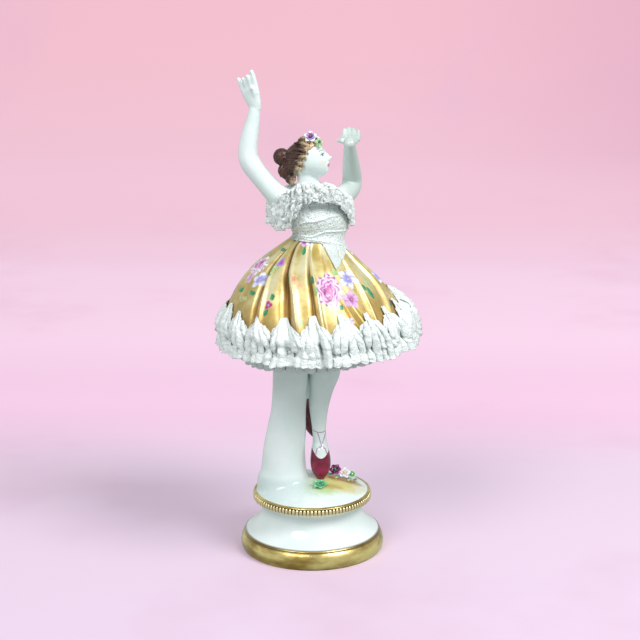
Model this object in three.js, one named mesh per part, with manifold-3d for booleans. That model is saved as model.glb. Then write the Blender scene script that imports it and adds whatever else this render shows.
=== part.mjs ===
// Porcelain dancer in a gilded skirt with lace ruffles, on a turned plinth. Millimetres, +Z up.
// The origin is the centre of the plinth's flat underside, and the plinth's front faces -Y.

import * as THREE from 'three';
import { mergeVertices } from 'three/addons/utils/BufferGeometryUtils.js';
import Module from 'manifold-3d';

const wasm = await Module();
wasm.setup();

// Plinth: a turned base with a gilded foot, a waist, a ring of beads and a domed mound
const plinthRadius = 34.8;
const footHeight = 9;
const footStep = 2.2; // how far the gilded foot stands out from the waist's start
const waistRadius = 24; // the narrowest place of the waist
const waistHeight = 15.4;
const ringHeight = 4.2; // the beads and the plain fillet over them
const ringRadius = 28.8;
const beadCount = 100;
const beadRise = 0.9;
const fillet = 1.2; // the plain rim over the beads
const moundRadius = 27.2;
const moundRise = 6.4;
const plinthSides = 32;

// Support: the smooth column that rises from the mound into the skirt
const supportRadius = 8.4;
const supportFlare = 4.4; // how much wider it is where it leaves the mound

// Dancer: the pose scales with its height from the toe to the raised fingertips
const dancerHeight = 194.7;
const skirtWall = 1.6;
const foldDepth = 1.5;
const bandCount = 4;
const bandRise = 0.4;

// Lace: ruffles stiffened with slip
const flouncePoints = 19;
const flounceHeight = 8.6; // from the hem up to the valleys between the points
const flouncePeak = 7.4; // how far the points rise over the valleys
const flounceDrop = 4; // how far it hangs under the hem
const flounceSwell = 4.4;
const flounceFlare = 7.5; // how far its top stands off the skirt at the back right
const petticoatDrop = 7.4;
const petticoatThickness = 3.2;
const collarHeight = 12;
const collarThickness = 4.4;
const collarFlutes = 20;

// Applied flowers
const bloomRadius = 2.9;
const leafLength = 4.6;

const seat = 0.3; // gap where one piece rests on another

// The pose below is drawn in millimetres for a dancer of this height, with the toe at this level
const drawn = { height: 194.7, toe: 35.3 };
const grow = dancerHeight / drawn.height;

const turn = Math.PI * 2;
const range = (count) => Array.from({ length: count }, (_, index) => index);
const blend = THREE.MathUtils.lerp;
const vector = (x, y, z) => new THREE.Vector3(x, y, z);

const moundTop = footHeight + waistHeight + ringHeight;
const moundAt = (x, y) => moundTop + moundRise * (1 - (x * x + y * y) / moundRadius ** 2);

const toe = { x: 4.3, y: -3.4 };
const toeLevel = moundAt(toe.x * grow, toe.y * grow) + seat;
const at = (x, y, z) => vector(x * grow, y * grow, toeLevel + (z - drawn.toe) * grow);
const drawnLevel = (z) => drawn.toe + (z - toeLevel) / grow;

// A closed geometry as a solid that can be joined and cut
function solid(geometry) {
  const bare = geometry.clone();
  bare.deleteAttribute('normal');
  bare.deleteAttribute('uv');
  const merged = mergeVertices(bare);
  const corners = merged.index.array;
  const faces = [];
  for (let i = 0; i < corners.length; i += 3) {
    const [a, b, c] = [corners[i], corners[i + 1], corners[i + 2]];
    if (a !== b && b !== c && c !== a) faces.push(a, b, c);
  }
  return new wasm.Manifold(new wasm.Mesh({
    numProp: 3,
    vertProperties: new Float32Array(merged.attributes.position.array),
    triVerts: new Uint32Array(faces),
  }));
}

// A closed skin over rings of points, first ring at the top, each counterclockwise seen from above
function skin(rings) {
  const columns = rings[0].length;
  const middle = (ring) => ring.reduce((sum, point) => sum.add(point), vector(0, 0, 0))
    .divideScalar(columns);
  const rows = [[middle(rings[0])], ...rings, [middle(rings.at(-1))]];
  const ball = new THREE.SphereGeometry(1, columns, rows.length - 1);
  rows.forEach((row, level) => {
    for (let column = 0; column <= columns; column += 1) {
      const point = row[column % row.length];
      ball.attributes.position.setXYZ(level * (columns + 1) + column, point.x, point.y, point.z);
    }
  });
  return solid(ball);
}

// A closed band round a loop: section(angle) gives its points from the outside over the top
function band(columns, corners, section) {
  const hoop = new THREE.TorusGeometry(1, 0.5, corners, columns);
  const { position, uv } = hoop.attributes;
  const sections = range(columns).map((column) => section((column / columns) * turn, column));
  for (let i = 0; i < position.count; i += 1) {
    const column = Math.round(uv.getX(i) * columns) % columns;
    const point = sections[column][Math.round(uv.getY(i) * corners) % corners];
    position.setXYZ(i, point.x, point.y, point.z);
  }
  return solid(hoop);
}

// A limb along a smooth line through stops [x, y, z, half width, half depth], depth along facing
function limb(stops, { columns = 12, rows = 9, extra = 0, facing = vector(0, -1, 0) } = {}) {
  const path = new THREE.CatmullRomCurve3(stops.map(([x, y, z]) => at(x, y, z)));
  const girth = new THREE.CatmullRomCurve3(stops.map(([, , , wide, deep = wide]) => vector(wide, deep, 0)));
  return skin(range(rows).map((row) => {
    const t = row / (rows - 1);
    const along = path.getTangent(t);
    const front = facing.clone().addScaledVector(along, -facing.dot(along)).normalize();
    const side = front.clone().cross(along);
    const size = girth.getPoint(t).multiplyScalar(grow);
    return range(columns).map((column) => {
      const angle = (column / columns) * turn;
      return path.getPoint(t)
        .addScaledVector(front, Math.cos(angle) * (size.y + extra))
        .addScaledVector(side, Math.sin(angle) * (size.x + extra));
    });
  }));
}

// An egg of half sizes [x, y, z] round a drawn place, turned by angles about X, Y and Z
function egg(place, size, { columns = 12, rows = 8, extra = 0, tilt = [0, 0, 0] } = {}) {
  const ball = new THREE.SphereGeometry(1, columns, rows);
  ball.rotateX(Math.PI / 2);
  ball.scale(...size.map((half) => half * grow + extra));
  ball.rotateX(tilt[0]).rotateY(tilt[1]).rotateZ(tilt[2]);
  ball.translate(...at(...place).toArray());
  return solid(ball);
}

const join = (pieces) => pieces.reduce((whole, piece) => whole.add(piece));

// A cut can leave crumbs, so the largest body is the piece
const largest = (body) => body.decompose().sort((a, b) => b.volume() - a.volume())[0];

// The skirt's outside: drawn level, lean of the middle and radius, from the waist to the hem
const skirtRows = [
  [154.2, 2.6, 10.5], [150, 0.4, 14.2], [141, -1.4, 24], [133.5, -0.9, 31], [124.5, 0, 37.4],
  [115.5, 1.6, 41.6], [107.4, 3, 43],
];
const hemTilt = Math.tan(THREE.MathUtils.degToRad(2)); // the hem is highest at the back right
const backRight = 0.6;
const hemRise = [Math.cos(backRight) * hemTilt, Math.sin(backRight) * hemTilt];
const skirtColumns = flouncePoints * 3;
const gatherTurn = THREE.MathUtils.degToRad(-3.8); // where the first valley of the gathers lies
const columnAngle = (column) => (column / skirtColumns) * turn + gatherTurn;

// The skirt's folds from valley to valley, each as a share of the round, from its right side on
const foldWidths = [3, 4, 3, 4, 4, 3, 4, 3, 4, 3, 4, 4, 3, 4, 3, 4];
const foldStops = foldWidths.reduce((stops, width) => [...stops, stops.at(-1) + width], [0]);

// Folds deepen towards the hem, with crests broader than the valleys
function foldAt(angle, reach) {
  const spot = THREE.MathUtils.euclideanModulo((angle - gatherTurn) / turn, 1) * foldStops.at(-1);
  const fold = foldWidths.findIndex((width, index) => spot < foldStops[index + 1] - 0.001);
  const share = fold < 0 ? 0 : (spot - foldStops[fold]) / foldWidths[fold];
  const wave = 1.8 * Math.max(Math.sin(share * Math.PI), 0) ** 0.5 - 1;
  return foldDepth * wave * THREE.MathUtils.smoothstep(reach, 0.05, 0.8);
}

// A point of the skirt: reach runs over its rows from 0 at the waist to 1 at the hem
function skirtPoint(angle, reach, extra = 0, folded = 1) {
  const last = skirtRows.length - 1;
  const onRow = (row) => {
    const [level, lean, radius] = skirtRows[row];
    const wide = radius + folded * foldAt(angle, row / last);
    const [x, y] = [Math.cos(angle) * wide, Math.sin(angle) * wide];
    return at(lean + x, y, level + (hemRise[0] * x + hemRise[1] * y) * (row / last) ** 2);
  };
  const row = Math.min(Math.floor(reach * last), last - 1);
  return onRow(row).lerp(onRow(row + 1), reach * last - row)
    .add(vector(Math.cos(angle), Math.sin(angle), 0).multiplyScalar(extra));
}

// The skirt as a full dome
function dome() {
  const last = skirtRows.length - 1;
  return skin(range(last + 1).map((row) => range(skirtColumns).map((column) => (
    skirtPoint(columnAngle(column), row / last)))));
}

// The hollow under the skirt, smooth inside, and open below
function hollow() {
  const columns = 24;
  const ring = (reach, drop) => range(columns).map((column) => {
    const point = skirtPoint((column / columns) * turn, reach, -skirtWall - foldDepth * 0.7 * reach, 0);
    return point.add(vector(0, 0, -drop));
  });
  return skin([ring(0.25, skirtWall), ring(0.5, skirtWall * 0.7), ring(0.8, skirtWall * 0.3), ring(1, 0),
    ring(1, 12)]);
}

// Trunk from the neck to the hips: level, middle x and y, half width and half depth
const trunkTurn = THREE.MathUtils.degToRad(-28);
const trunkFront = vector(-Math.sin(trunkTurn), -Math.cos(trunkTurn), 0);
const trunkSide = vector(Math.cos(trunkTurn), -Math.sin(trunkTurn), 0);
const trunkRows = [
  [186, -2.2, 3.2, 5, 5], [181, -1.9, 3.2, 4.9, 4.9], [178, -1.5, 3, 5.8, 5.5],
  [174.3, -0.5, 2, 12.2, 7.6], [170.5, 0.5, 1, 15.4, 9.6], [164, 2.2, -0.2, 15.2, 11.4],
  [160, 3.2, -0.2, 14.6, 10.8], [157.5, 3.7, 0, 13.2, 10], [155.5, 3.8, 0, 12.5, 9.6],
  [152, 3, 0, 11, 9],
];
const waistRow = trunkRows.length - 2;
const trunkColumns = 20;
const basqueTip = THREE.MathUtils.degToRad(2.6); // where the basque's point lies, from the trunk's front
const basqueRim = 153.2; // the drawn level of its edge round the back
const basqueDrop = 11; // how far its point hangs under that
const [basqueLeft, basqueRight] = [0.2, 1.4]; // how far round each side the point is drawn out

const trunkAngle = (column, columns = trunkColumns) => (column / columns) * turn + basqueTip;
const trunkSpread = (angle) => trunkFront.clone().multiplyScalar(Math.cos(angle))
  .addScaledVector(trunkSide, Math.sin(angle));

// A point of the trunk at any row, whole or between two
function trunkPoint(row, angle, extra) {
  const above = Math.min(Math.floor(row), trunkRows.length - 2);
  const [level, x, y, wide, deep] = trunkRows[above].map((value, i) => (
    blend(value, trunkRows[above + 1][i], row - above)));
  return at(x, y, level).addScaledVector(trunkFront, Math.cos(angle) * (deep * grow + extra))
    .addScaledVector(trunkSide, Math.sin(angle) * (wide * grow + extra));
}

// A ring round the trunk that runs from one row at its left side to another at its right
function trunkRing(left, extra = 0, right = left, columns = trunkColumns) {
  return range(columns).map((column) => {
    const angle = trunkAngle(column, columns);
    return trunkPoint(blend(left, right, 0.5 + 0.5 * Math.sin(angle)), angle, extra);
  });
}

// The skirt's reach at a drawn level
function reachAt(level) {
  const row = Math.max(skirtRows.findIndex(([lower]) => lower <= level), 1);
  const [above, below] = [skirtRows[row - 1][0], skirtRows[row][0]];
  return Math.max(row - 1 + (above - level) / (above - below), 0) / (skirtRows.length - 1);
}

// The bodice ends in a pointed basque on the skirt, steep on the left of its point
function basqueRing(share, stand, drop = 0) {
  return trunkRing(waistRow, bandRise).map((waist, column) => {
    const angle = trunkAngle(column);
    const past = (column > trunkColumns * 0.8 ? column - trunkColumns : column) * (turn / trunkColumns);
    const off = past < 0 ? (-past / basqueLeft) ** 1.5 : (past / basqueRight) ** 1.16;
    const level = blend(trunkRows[waistRow][0], basqueRim - basqueDrop * Math.exp(-off), share);
    const spread = trunkSpread(angle);
    const point = skirtPoint(Math.atan2(spread.y, spread.x), reachAt(level), 0, 0);
    const placed = waist.lerp(point.addScaledVector(spread, stand), share ** 0.7);
    placed.z = at(0, 0, level).z - drop;
    return placed;
  });
}

// The bodice's raised bands fan out from the left of the waist, with a valley between each two
function trunk() {
  const rows = bandCount * 2;
  const bands = range(rows).map((step) => trunkRing(blend(6.2, waistRow - 0.1, step / (rows - 1)),
    step % 2 ? bandRise : -0.1, blend(3.3, waistRow - 0.1, step / (rows - 1))));
  const stand = bandRise + foldDepth * 0.7;
  return skin([...range(3).map((row) => trunkRing(row)), trunkRing(5, 0, 3.1), ...bands,
    basqueRing(0, 0), basqueRing(0.5, stand), basqueRing(1, stand), basqueRing(1, -2, 1.2),
    trunkRing(trunkRows.length - 1, -2)]);
}

const hipLevel = 131;
const hips = () => limb([[2, 0, 155, 9, 8], [1.6, 0, 146, 12, 10], [0.5, 0.8, hipLevel, 14, 11]],
  { columns: 12, rows: 3 });

// Legs: the front one stands on its toe, the other crosses behind it
const frontLeg = (extra = 0) => limb([
  [4.5, 1.5, 142, 9, 9], [6.4, 1.5, 124, 8.8, 8.8], [6.6, 1.5, 109, 7.2, 7.4], [6.6, 3.4, 98, 7.2, 7.4],
  [6.2, 4.2, 88, 7.6, 7.6], [4.5, 4.2, 78.5, 5.9, 6.1], [3.3, 4.2, 69.5, 4.8, 4.9],
  [3.35, 4.6, 58, 3.4, 3.7], [3.7, 4.4, 51.5, 3.5, 4.6], [3.9, 3, 47, 4.5, 5.6], [4.1, 0.6, 42, 5, 5],
  [4.2, -2, 38, 4, 3.4], [4.3, -3.2, 35.6, 2, 1.7],
], { columns: 10, rows: 14, extra });

const rearLeg = (extra = 0) => limb([
  [-1, 4, 142, 8.6, 8.4], [-4, 4, 124, 8.2, 8], [-5.2, 5, 106, 6.8, 6.8], [-5.6, 9, 92, 6.3, 6.5],
  [-5.2, 13, 80, 5.2, 5.2], [-4.9, 15.2, 72, 4, 4], [-4.4, 16, 67, 4, 4.6],
  [-0.6, 15.4, 58, 4.3, 3.8], [2.4, 14.4, 52, 2.9, 2.6], [3.2, 14, 50, 1.4, 1.2],
], { columns: 9, rows: 10, extra });

// Arms: one raised high, the other bent so that the forearm stands upright
const raisedArm = (extra = 0) => limb([
  [-8, -3.5, 168.5, 6, 5.6], [-15.5, -5, 173.6, 5.2, 5.2], [-22, -5, 180.6, 4.6, 4.6],
  [-28, -4.6, 188.6, 4.7, 4.6], [-29.2, -4.4, 194, 4.5, 4.4], [-28.4, -4.6, 200.5, 4.1, 4],
  [-26.8, -4.8, 208, 3.3, 3.2], [-25.6, -5, 213.8, 2.9, 2.5],
], { columns: 9, rows: 9, extra });

const bentArm = (extra = 0) => limb([
  [8, 2, 168.5, 6, 5.6], [14, 8, 170.8, 5.2, 5.2], [18.4, 15.4, 174.2, 4.7, 4.7],
  [19, 16.4, 178.4, 4.6, 4.6], [18.6, 12, 184, 4.3, 4.2], [18, 6, 190.2, 3.6, 3.5],
  [17.6, 1.2, 195.6, 3.1, 2.8], [17.5, -0.6, 197.6, 3, 2.6],
], { columns: 9, rows: 9, extra, facing: vector(1, 0, 0) });

// A hand: palm, four fingers side by side that curl, and a thumb, along a line with the palm facing up
function hand(wrist, along, palm, fingers) {
  const across = along.clone().cross(palm);
  const place = (out, aside, up) => vector(...wrist).addScaledVector(along, out)
    .addScaledVector(across, aside).addScaledVector(palm, up).toArray();
  const pad = limb([
    [...place(-1, 0, 0), 2.7, 2.3], [...place(3, 0.2, 0), 3.8, 1.9], [...place(7, 0, 0.1), 4.3, 1.5],
    [...place(8.6, 0, 0.3), 3.4, 1.1],
  ], { columns: 6, rows: 4, facing: palm });
  const digits = fingers.map(([root, aside, reach, curl], index) => {
    const thumb = index === 0;
    const start = thumb ? place(2, root, 0.4) : place(6.6, root, 0.1);
    return limb([
      [...start, 1.4], [...place(thumb ? 5 : 11, blend(root, aside, 0.5), curl * 0.25), 1.3],
      [...place(reach, aside, curl), 0.9],
    ], { columns: 4, rows: 3, facing: palm });
  });
  return join([pad, ...digits]);
}

// Fingers as [root, tip aside, reach, curl of the tip], the thumb first
const raisedHand = () => hand([-25.6, -5, 213.6], vector(-0.27, 0, 0.963).normalize(),
  vector(-0.42, -0.9, -0.118).normalize(),
  [[2.6, 2.2, 9.5, 2.2], [2.4, 2.3, 16.2, 0.8], [0.8, 0.5, 16, 1.4], [-1, -1.5, 15.4, 1.4],
    [-2.6, -3.6, 14.4, 0.9]]);
const openHand = () => hand([17.5, -0.4, 197.4], vector(0.04, 0.99, 0.12).normalize(),
  vector(0, -0.12, 0.99).normalize(),
  [[-3.2, -5.6, 5, -0.4], [-1.9, -1.9, 12, 3.2], [0, 0, 12.8, 3.6], [1.8, 2, 12.4, 3.4],
    [3.4, 3.8, 11.4, 2.8]]);

// Head, thrown back and turned aside: an axis through the crown, and the way the face looks
const headPlace = [-1.3, 2.6, 189.5];
const lookTurn = THREE.MathUtils.degToRad(-12);
const lookLift = THREE.MathUtils.degToRad(20);
const looking = vector(Math.cos(lookTurn) * Math.cos(lookLift), Math.sin(lookTurn) * Math.cos(lookLift),
  Math.sin(lookLift));
const crown = vector(-Math.cos(lookTurn) * Math.sin(lookLift), -Math.sin(lookTurn) * Math.sin(lookLift),
  Math.cos(lookLift));
const headSide = crown.clone().cross(looking);

// A place in the head, by how far it lies forward, aside and up
const inHead = (forward, aside, up) => at(...headPlace).addScaledVector(looking, forward)
  .addScaledVector(headSide, aside).addScaledVector(crown, up);

// Bumps of the face: rise, then place up and aside, then spread up and aside, in shares of the head
const faceBumps = [
  [2.6, -0.26, 0, 0.13, 0.14], [1.5, -0.08, 0, 0.17, 0.12], [0.5, 0.16, 0, 0.1, 0.5],
  [-0.8, 0, 0.38, 0.12, 0.17], [-0.8, 0, -0.38, 0.12, 0.17], [0.7, -0.54, 0, 0.08, 0.2],
  [-0.3, -0.66, 0, 0.05, 0.2], [0.9, -0.84, 0, 0.12, 0.24], [0.4, -0.3, 0.42, 0.2, 0.2],
  [0.4, -0.3, -0.42, 0.2, 0.2],
];

// The skull: how far it reaches forward, aside and up, for a direction given by height and angle
function skull(up, angle) {
  const round = Math.sqrt(1 - up * up);
  const [front, aside] = [Math.cos(angle) * round, Math.sin(angle) * round];
  const low = THREE.MathUtils.smoothstep(-up, 0.15, 1);
  const bump = faceBumps.reduce((sum, [height, level, side, tall, wide]) => sum
    + height * Math.exp(-(((up - level) / tall) ** 2) - ((aside - side) / wide) ** 2), 0);
  const face = THREE.MathUtils.smoothstep(front, 0, 0.35) * bump;
  return [front * (front > 0 ? 8.3 * (1 + 0.34 * low) : 9.4 * (1 - 0.3 * low)) + face,
    aside * 6.9 * (1 - 0.22 * low), up * (up > 0 ? 8.9 : 9.8)];
}

function head() {
  const [rows, columns] = [11, 16];
  return skin(range(rows).map((row) => range(columns).map((column) => {
    const up = Math.cos(((row + 0.55) / (rows + 0.1)) * Math.PI);
    return inHead(...skull(up, (column / columns) * turn).map((length) => length * grow));
  })));
}

// Hair: combed locks over the skull behind the hairline, gathered into a bun with curls under it
function hair(extra = 0) {
  const [rows, columns] = [8, 16];
  const cap = skin(range(rows).map((row) => range(columns).map((column) => {
    const up = Math.cos(((row + 0.6) / (rows + 1.3)) * Math.PI);
    const [front, aside, high] = skull(up, (column / columns) * turn);
    const hairline = high > 4.6 ? 6 : -2 + high;
    const lock = 0.4 * (column % 2);
    const thick = front > hairline ? -1.2 : 1.2 + 0.3 * Math.max(0, -front) + lock;
    const swell = 1 + thick / 8.5;
    return inHead(...[front, aside, high * (1 + Math.min(thick, 0.8) / 9)].map((length, axis) => (
      length * (axis < 2 ? swell : 1) * grow + Math.sign(length) * extra)));
  })));
  const curls = [
    [[-14, 3.6, 190.4], [4.2, 4.4, 4.2]], [[-12, 3, 184], [4, 4.4, 4.2]],
    [[-9.8, 1.6, 180.6], [2.8, 3.4, 3]],
  ];
  return join([cap, ...curls.map(([place, size]) => egg(place, size, { columns: 8, rows: 5, extra }))]);
}

// The trunk and arms without their relief, grown by extra, for what rests on them
function upperBody(extra) {
  const columns = 12;
  const around = bandRise + extra + 0.6;
  return join([skin(range(7).map((row) => trunkRing(row + 1, around, row + 1, columns))), raisedArm(extra),
    bentArm(extra)]);
}

// The support stands on the mound, spreads over its left side and ends under the dancer's hips
function supportBody(extra = 0) {
  const foot = -(moundRadius - 0.5) / grow;
  const thick = supportRadius / 8.4;
  const spread = supportRadius + supportFlare;
  const floor = drawnLevel(moundTop);
  const top = hipLevel - (seat - extra) / grow;
  const rise = (share) => blend(floor, top, share);
  return limb([
    [foot + spread * 1.04, 0.3, rise(0.004), spread * 1.04, spread],
    [foot + spread, 0.4, rise(0.05), spread, spread * 0.86],
    [-13.8, 0.6, rise(0.1), 11 * thick, 9.8 * thick], [-13.5, 0.9, rise(0.19), 10.2 * thick, 9 * thick],
    [-12.2, 1.2, rise(0.3), 9.3 * thick, 8.4 * thick], [-11.2, 1.3, rise(0.4), 8.4 * thick, 7.8 * thick],
    [-10.3, 1.3, rise(0.56), 8.5 * thick, 7.7 * thick], [-9.8, 1.4, rise(0.76), 8.8 * thick, 7.8 * thick],
    [-7.6, 1.4, top, 8.8 * thick, 7.8 * thick],
  ], { columns: 14, rows: 10, extra });
}

// The mound's profile from its rim to the middle
function moundCurve(extra) {
  const steps = 3;
  return range(steps + 1).map((step) => {
    const radius = moundRadius * (1 - step / steps);
    return new THREE.Vector2(radius, moundAt(radius, 0) + extra);
  });
}

// The turned profile, from the middle of the underside up to the top of the mound
function plinthProfile() {
  const waistTop = footHeight + waistHeight;
  const waistEdge = plinthRadius - footStep;
  const bulge = new THREE.QuadraticBezierCurve(new THREE.Vector2(plinthRadius - 0.6, 0),
    new THREE.Vector2(plinthRadius + 0.6, footHeight * 0.42), new THREE.Vector2(waistEdge, footHeight));
  const scotia = new THREE.CubicBezierCurve(new THREE.Vector2(waistEdge - 0.5, footHeight + 0.2),
    new THREE.Vector2(blend(waistEdge, waistRadius, 0.65), footHeight + waistHeight * 0.23),
    new THREE.Vector2(waistRadius - 2.4, footHeight + waistHeight * 0.62),
    new THREE.Vector2(waistRadius + 1.4, waistTop));
  return [new THREE.Vector2(0, 0), ...bulge.getPoints(3), ...scotia.getPoints(4),
    new THREE.Vector2(ringRadius - 1.2, waistTop + 0.8), new THREE.Vector2(ringRadius - 1.2, moundTop),
    ...moundCurve(0)];
}

function turned(profile) {
  return solid(new THREE.LatheGeometry(profile, plinthSides).rotateX(Math.PI / 2));
}

// Beads side by side round the top of the waist, on a flat disc so that the join stays plain
function beadRing() {
  const half = (ringHeight - fillet) / 2;
  const middle = moundTop - fillet - half;
  const ring = (height, rise) => range(beadCount * 2).map((column) => {
    const angle = (column / (beadCount * 2)) * turn;
    const radius = ringRadius - (column % 2 ? beadRise : beadRise - rise);
    return vector(Math.cos(angle) * radius, Math.sin(angle) * radius, height);
  });
  return skin([ring(middle + half, 0), ring(middle, beadRise), ring(middle - half, 0)]);
}

const plinth = () => join([turned(plinthProfile()), beadRing(), supportBody()]);

function dancer() {
  const legs = join([hips(), frontLeg(), rearLeg()]).subtract(supportBody(seat)).subtract(moundCut());
  return join([dome().subtract(hollow()), legs, trunk(), raisedArm(), bentArm(), raisedHand(), openHand(),
    head(), hair()]);
}

// Flounce: broad gathered lobes rise on the skirt, and the lower edge ripples
function hemFlounce() {
  const perPoint = skirtColumns / flouncePoints;
  const [lastRow, hemLevel] = skirtRows.slice(-2).map(([level]) => level);
  return band(skirtColumns, 6, (share, column) => {
    const angle = columnAngle(column);
    const place = column % perPoint;
    const toBack = Math.max(Math.cos(angle - backRight), 0) ** 2;
    const top = flounceHeight + flouncePeak * [0, 0.85, 1][place] * (1 + 0.6 * toBack);
    const ripple = [0.1, 1, 0.55][place];
    const stand = seat + 0.7 + flounceFlare * toBack * Math.sign(place);
    const spot = (height, away) => skirtPoint(angle, reachAt(hemLevel + Math.max(height, 0) / grow), away)
      .add(vector(0, 0, Math.min(height, 0)));
    return [spot(flounceHeight * 0.25, flounceSwell * (0.7 + 0.3 * ripple)),
      spot(top * 0.7, Math.max(flounceSwell * 0.5, stand)), spot(top, stand),
      spot(top * 0.96, seat + 0.5 * toBack), spot((lastRow - hemLevel) * grow, seat),
      spot(-flounceDrop, flounceSwell * (0.4 + 0.5 * ripple))];
  });
}

// Petticoat: a crimped ring of lace inside the hem that shows under the flounce
function petticoat() {
  const columns = 40;
  return band(columns, 4, (angle, column) => {
    const ripple = column % 2 ? 1 : -0.6;
    const out = vector(Math.cos(angle), Math.sin(angle), 0);
    const inside = skirtPoint(angle, 1, -skirtWall - foldDepth * 0.7 - seat - 1.4, 0);
    const spot = (away, up) => inside.clone().addScaledVector(out, away).add(vector(0, 0, up));
    const drop = petticoatDrop + Math.cos(angle - 3.9) * 1.2;
    return [spot(0.4 + ripple * 0.4, -drop * 0.5), spot(-0.8, 3.4), spot(-petticoatThickness, 2.6),
      spot(-1.4 + ripple, -drop)];
  });
}

// Collar: a fluted ruffle along a loop round the shoulders, deepest over the arms. Each place of the
// loop gives x, y, z and the share of the collar's height there
function laceCollar() {
  const places = [
    [-18.2, -3, 166.6, 1.1], [-10.8, -11.6, 167.6, 1.6], [-3, -13.8, 175.6, 0.86], [5, -12.4, 175.8, 0.8],
    [12.5, -8, 173, 0.75], [17.2, 0, 164.6, 1.15], [13, 11, 169, 0.8], [1, 12.5, 173.6, 0.72],
    [-11.5, 7, 171, 0.9],
  ];
  const loop = new THREE.CatmullRomCurve3(places.map(([x, y, z]) => at(x, y, z)), true);
  const height = new THREE.CatmullRomCurve3(places.map((place) => vector(place[3], 0, 0)), true);
  const columns = collarFlutes * 2;
  const body = band(columns, 4, (angle, column) => {
    const share = column / columns;
    const middle = loop.getPoint(share);
    const out = loop.getTangent(share).setZ(0).cross(vector(0, 0, 1)).normalize();
    const flute = column % 2;
    const tall = (collarHeight / 2) * height.getPoint(share).x;
    const spot = (away, up) => middle.clone().addScaledVector(out, away).add(vector(0, 0, up));
    return [spot(collarThickness * (0.1 + 0.4 * flute), 0.5),
      spot(collarThickness * (-0.2 + 0.3 * flute), tall * (0.9 + 0.1 * flute)),
      spot(-collarThickness * 0.9, 0),
      spot(collarThickness * (0.1 + 0.5 * flute), -tall * (0.85 + 0.15 * flute))];
  });
  return largest(body.subtract(upperBody(seat)));
}

// A bloom: an egg-shaped heart in a cup of petals, and flat leaves beside it
function bloom(place, radius, petals) {
  const flower = new THREE.SphereGeometry(radius, petals * 2, 3);
  const { position } = flower.attributes;
  for (let i = 0; i < position.count; i += 1) {
    const angle = Math.atan2(position.getZ(i), position.getX(i));
    const lobe = 0.86 + 0.14 * Math.cos(petals * angle);
    position.setXYZ(i, position.getX(i) * lobe, position.getY(i) * 0.8, position.getZ(i) * lobe);
  }
  return solid(flower.rotateX(Math.PI / 2).translate(...place.toArray()));
}

function leaf(place, length, heading, lift = 0.25) {
  const blade = new THREE.SphereGeometry(1, 6, 3).scale(length / 2, length * 0.16, length * 0.26);
  blade.rotateX(Math.PI / 2).rotateY(-lift).translate(length * 0.4, 0, 0).rotateZ(heading);
  return solid(blade.translate(...place.toArray()));
}

const onMound = (x, y, rise) => vector(x, y, moundAt(x, y) + rise);
const moundCut = () => turned([new THREE.Vector2(0, moundTop - 4),
  new THREE.Vector2(moundRadius, moundTop - 4), ...moundCurve(seat)]);

function moundFlowers() {
  const middle = [14.8, 5.6];
  const blooms = join([
    bloom(onMound(middle[0] - 3.4, middle[1], 3), bloomRadius, 5),
    bloom(onMound(middle[0] + 0.8, middle[1] - 1, 2.2), bloomRadius, 5),
    bloom(onMound(middle[0] + 4.6, middle[1] + 0.6, 2.2), bloomRadius * 0.8, 4),
    ...range(4).map((index) => leaf(onMound(...middle, 0.9), leafLength * 1.3, index * 1.5 - 2.4)),
  ]);
  return largest(blooms.subtract(moundCut()));
}

function moundLeaf() {
  const middle = [3.9, -11.6];
  const root = onMound(...middle, 1.4);
  const leaves = range(4).map((index) => leaf(root, leafLength, (index / 4) * turn + 0.4, 0.5));
  return largest(join([bloom(root, bloomRadius * 0.6, 4), ...leaves]).subtract(moundCut()));
}

function hairFlowers() {
  const spray = [[-1.4, 1, 199.6, 0.76], [1.6, 0.6, 199.8, 0.76], [4, 0.2, 198.4, 0.6]];
  const flowers = spray.map(([x, y, z, size]) => bloom(at(x, y, z), size * bloomRadius, 5));
  return largest(join(flowers).subtract(head()).subtract(hair(seat)));
}

const finish = (color, roughness) => new THREE.MeshStandardMaterial({ color, roughness });
const glaze = finish(0xf2f5f1, 0.12);
const lace = finish(0xf4f7f6, 0.5);
const enamel = finish(0xb56a9c, 0.3);
const leafGreen = finish(0x3f9a63, 0.3);

const figurine = new THREE.Group();

function place(name, body, material) {
  const { vertProperties, triVerts } = body.getMesh();
  const geometry = new THREE.BufferGeometry();
  geometry.setAttribute('position', new THREE.BufferAttribute(vertProperties, 3));
  geometry.setIndex(new THREE.BufferAttribute(triVerts, 1));
  geometry.computeVertexNormals();
  const mesh = new THREE.Mesh(geometry, material);
  mesh.name = name;
  figurine.add(mesh);
}

place('plinth', plinth(), glaze);
place('dancer', dancer(), glaze);
place('lace_collar', laceCollar(), lace);
place('hem_flounce', hemFlounce(), lace);
place('petticoat', petticoat(), lace);
place('hair_flowers', hairFlowers(), enamel);
place('mound_flowers', moundFlowers(), enamel);
place('mound_leaf', moundLeaf(), leafGreen);

export default figurine;
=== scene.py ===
# A porcelain dancer in a gilded skirt with lace ruffles, on a turned plinth.
# Lengths are in millimetres until a mesh is made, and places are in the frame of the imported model.
import random
from bisect import bisect_right
from math import atan2, cos, degrees, exp, hypot, pi, radians, sin, sqrt, tan, tau

import bmesh
import bpy
from mathutils import Matrix, Vector, noise
from mathutils.geometry import interpolate_bezier


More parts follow.
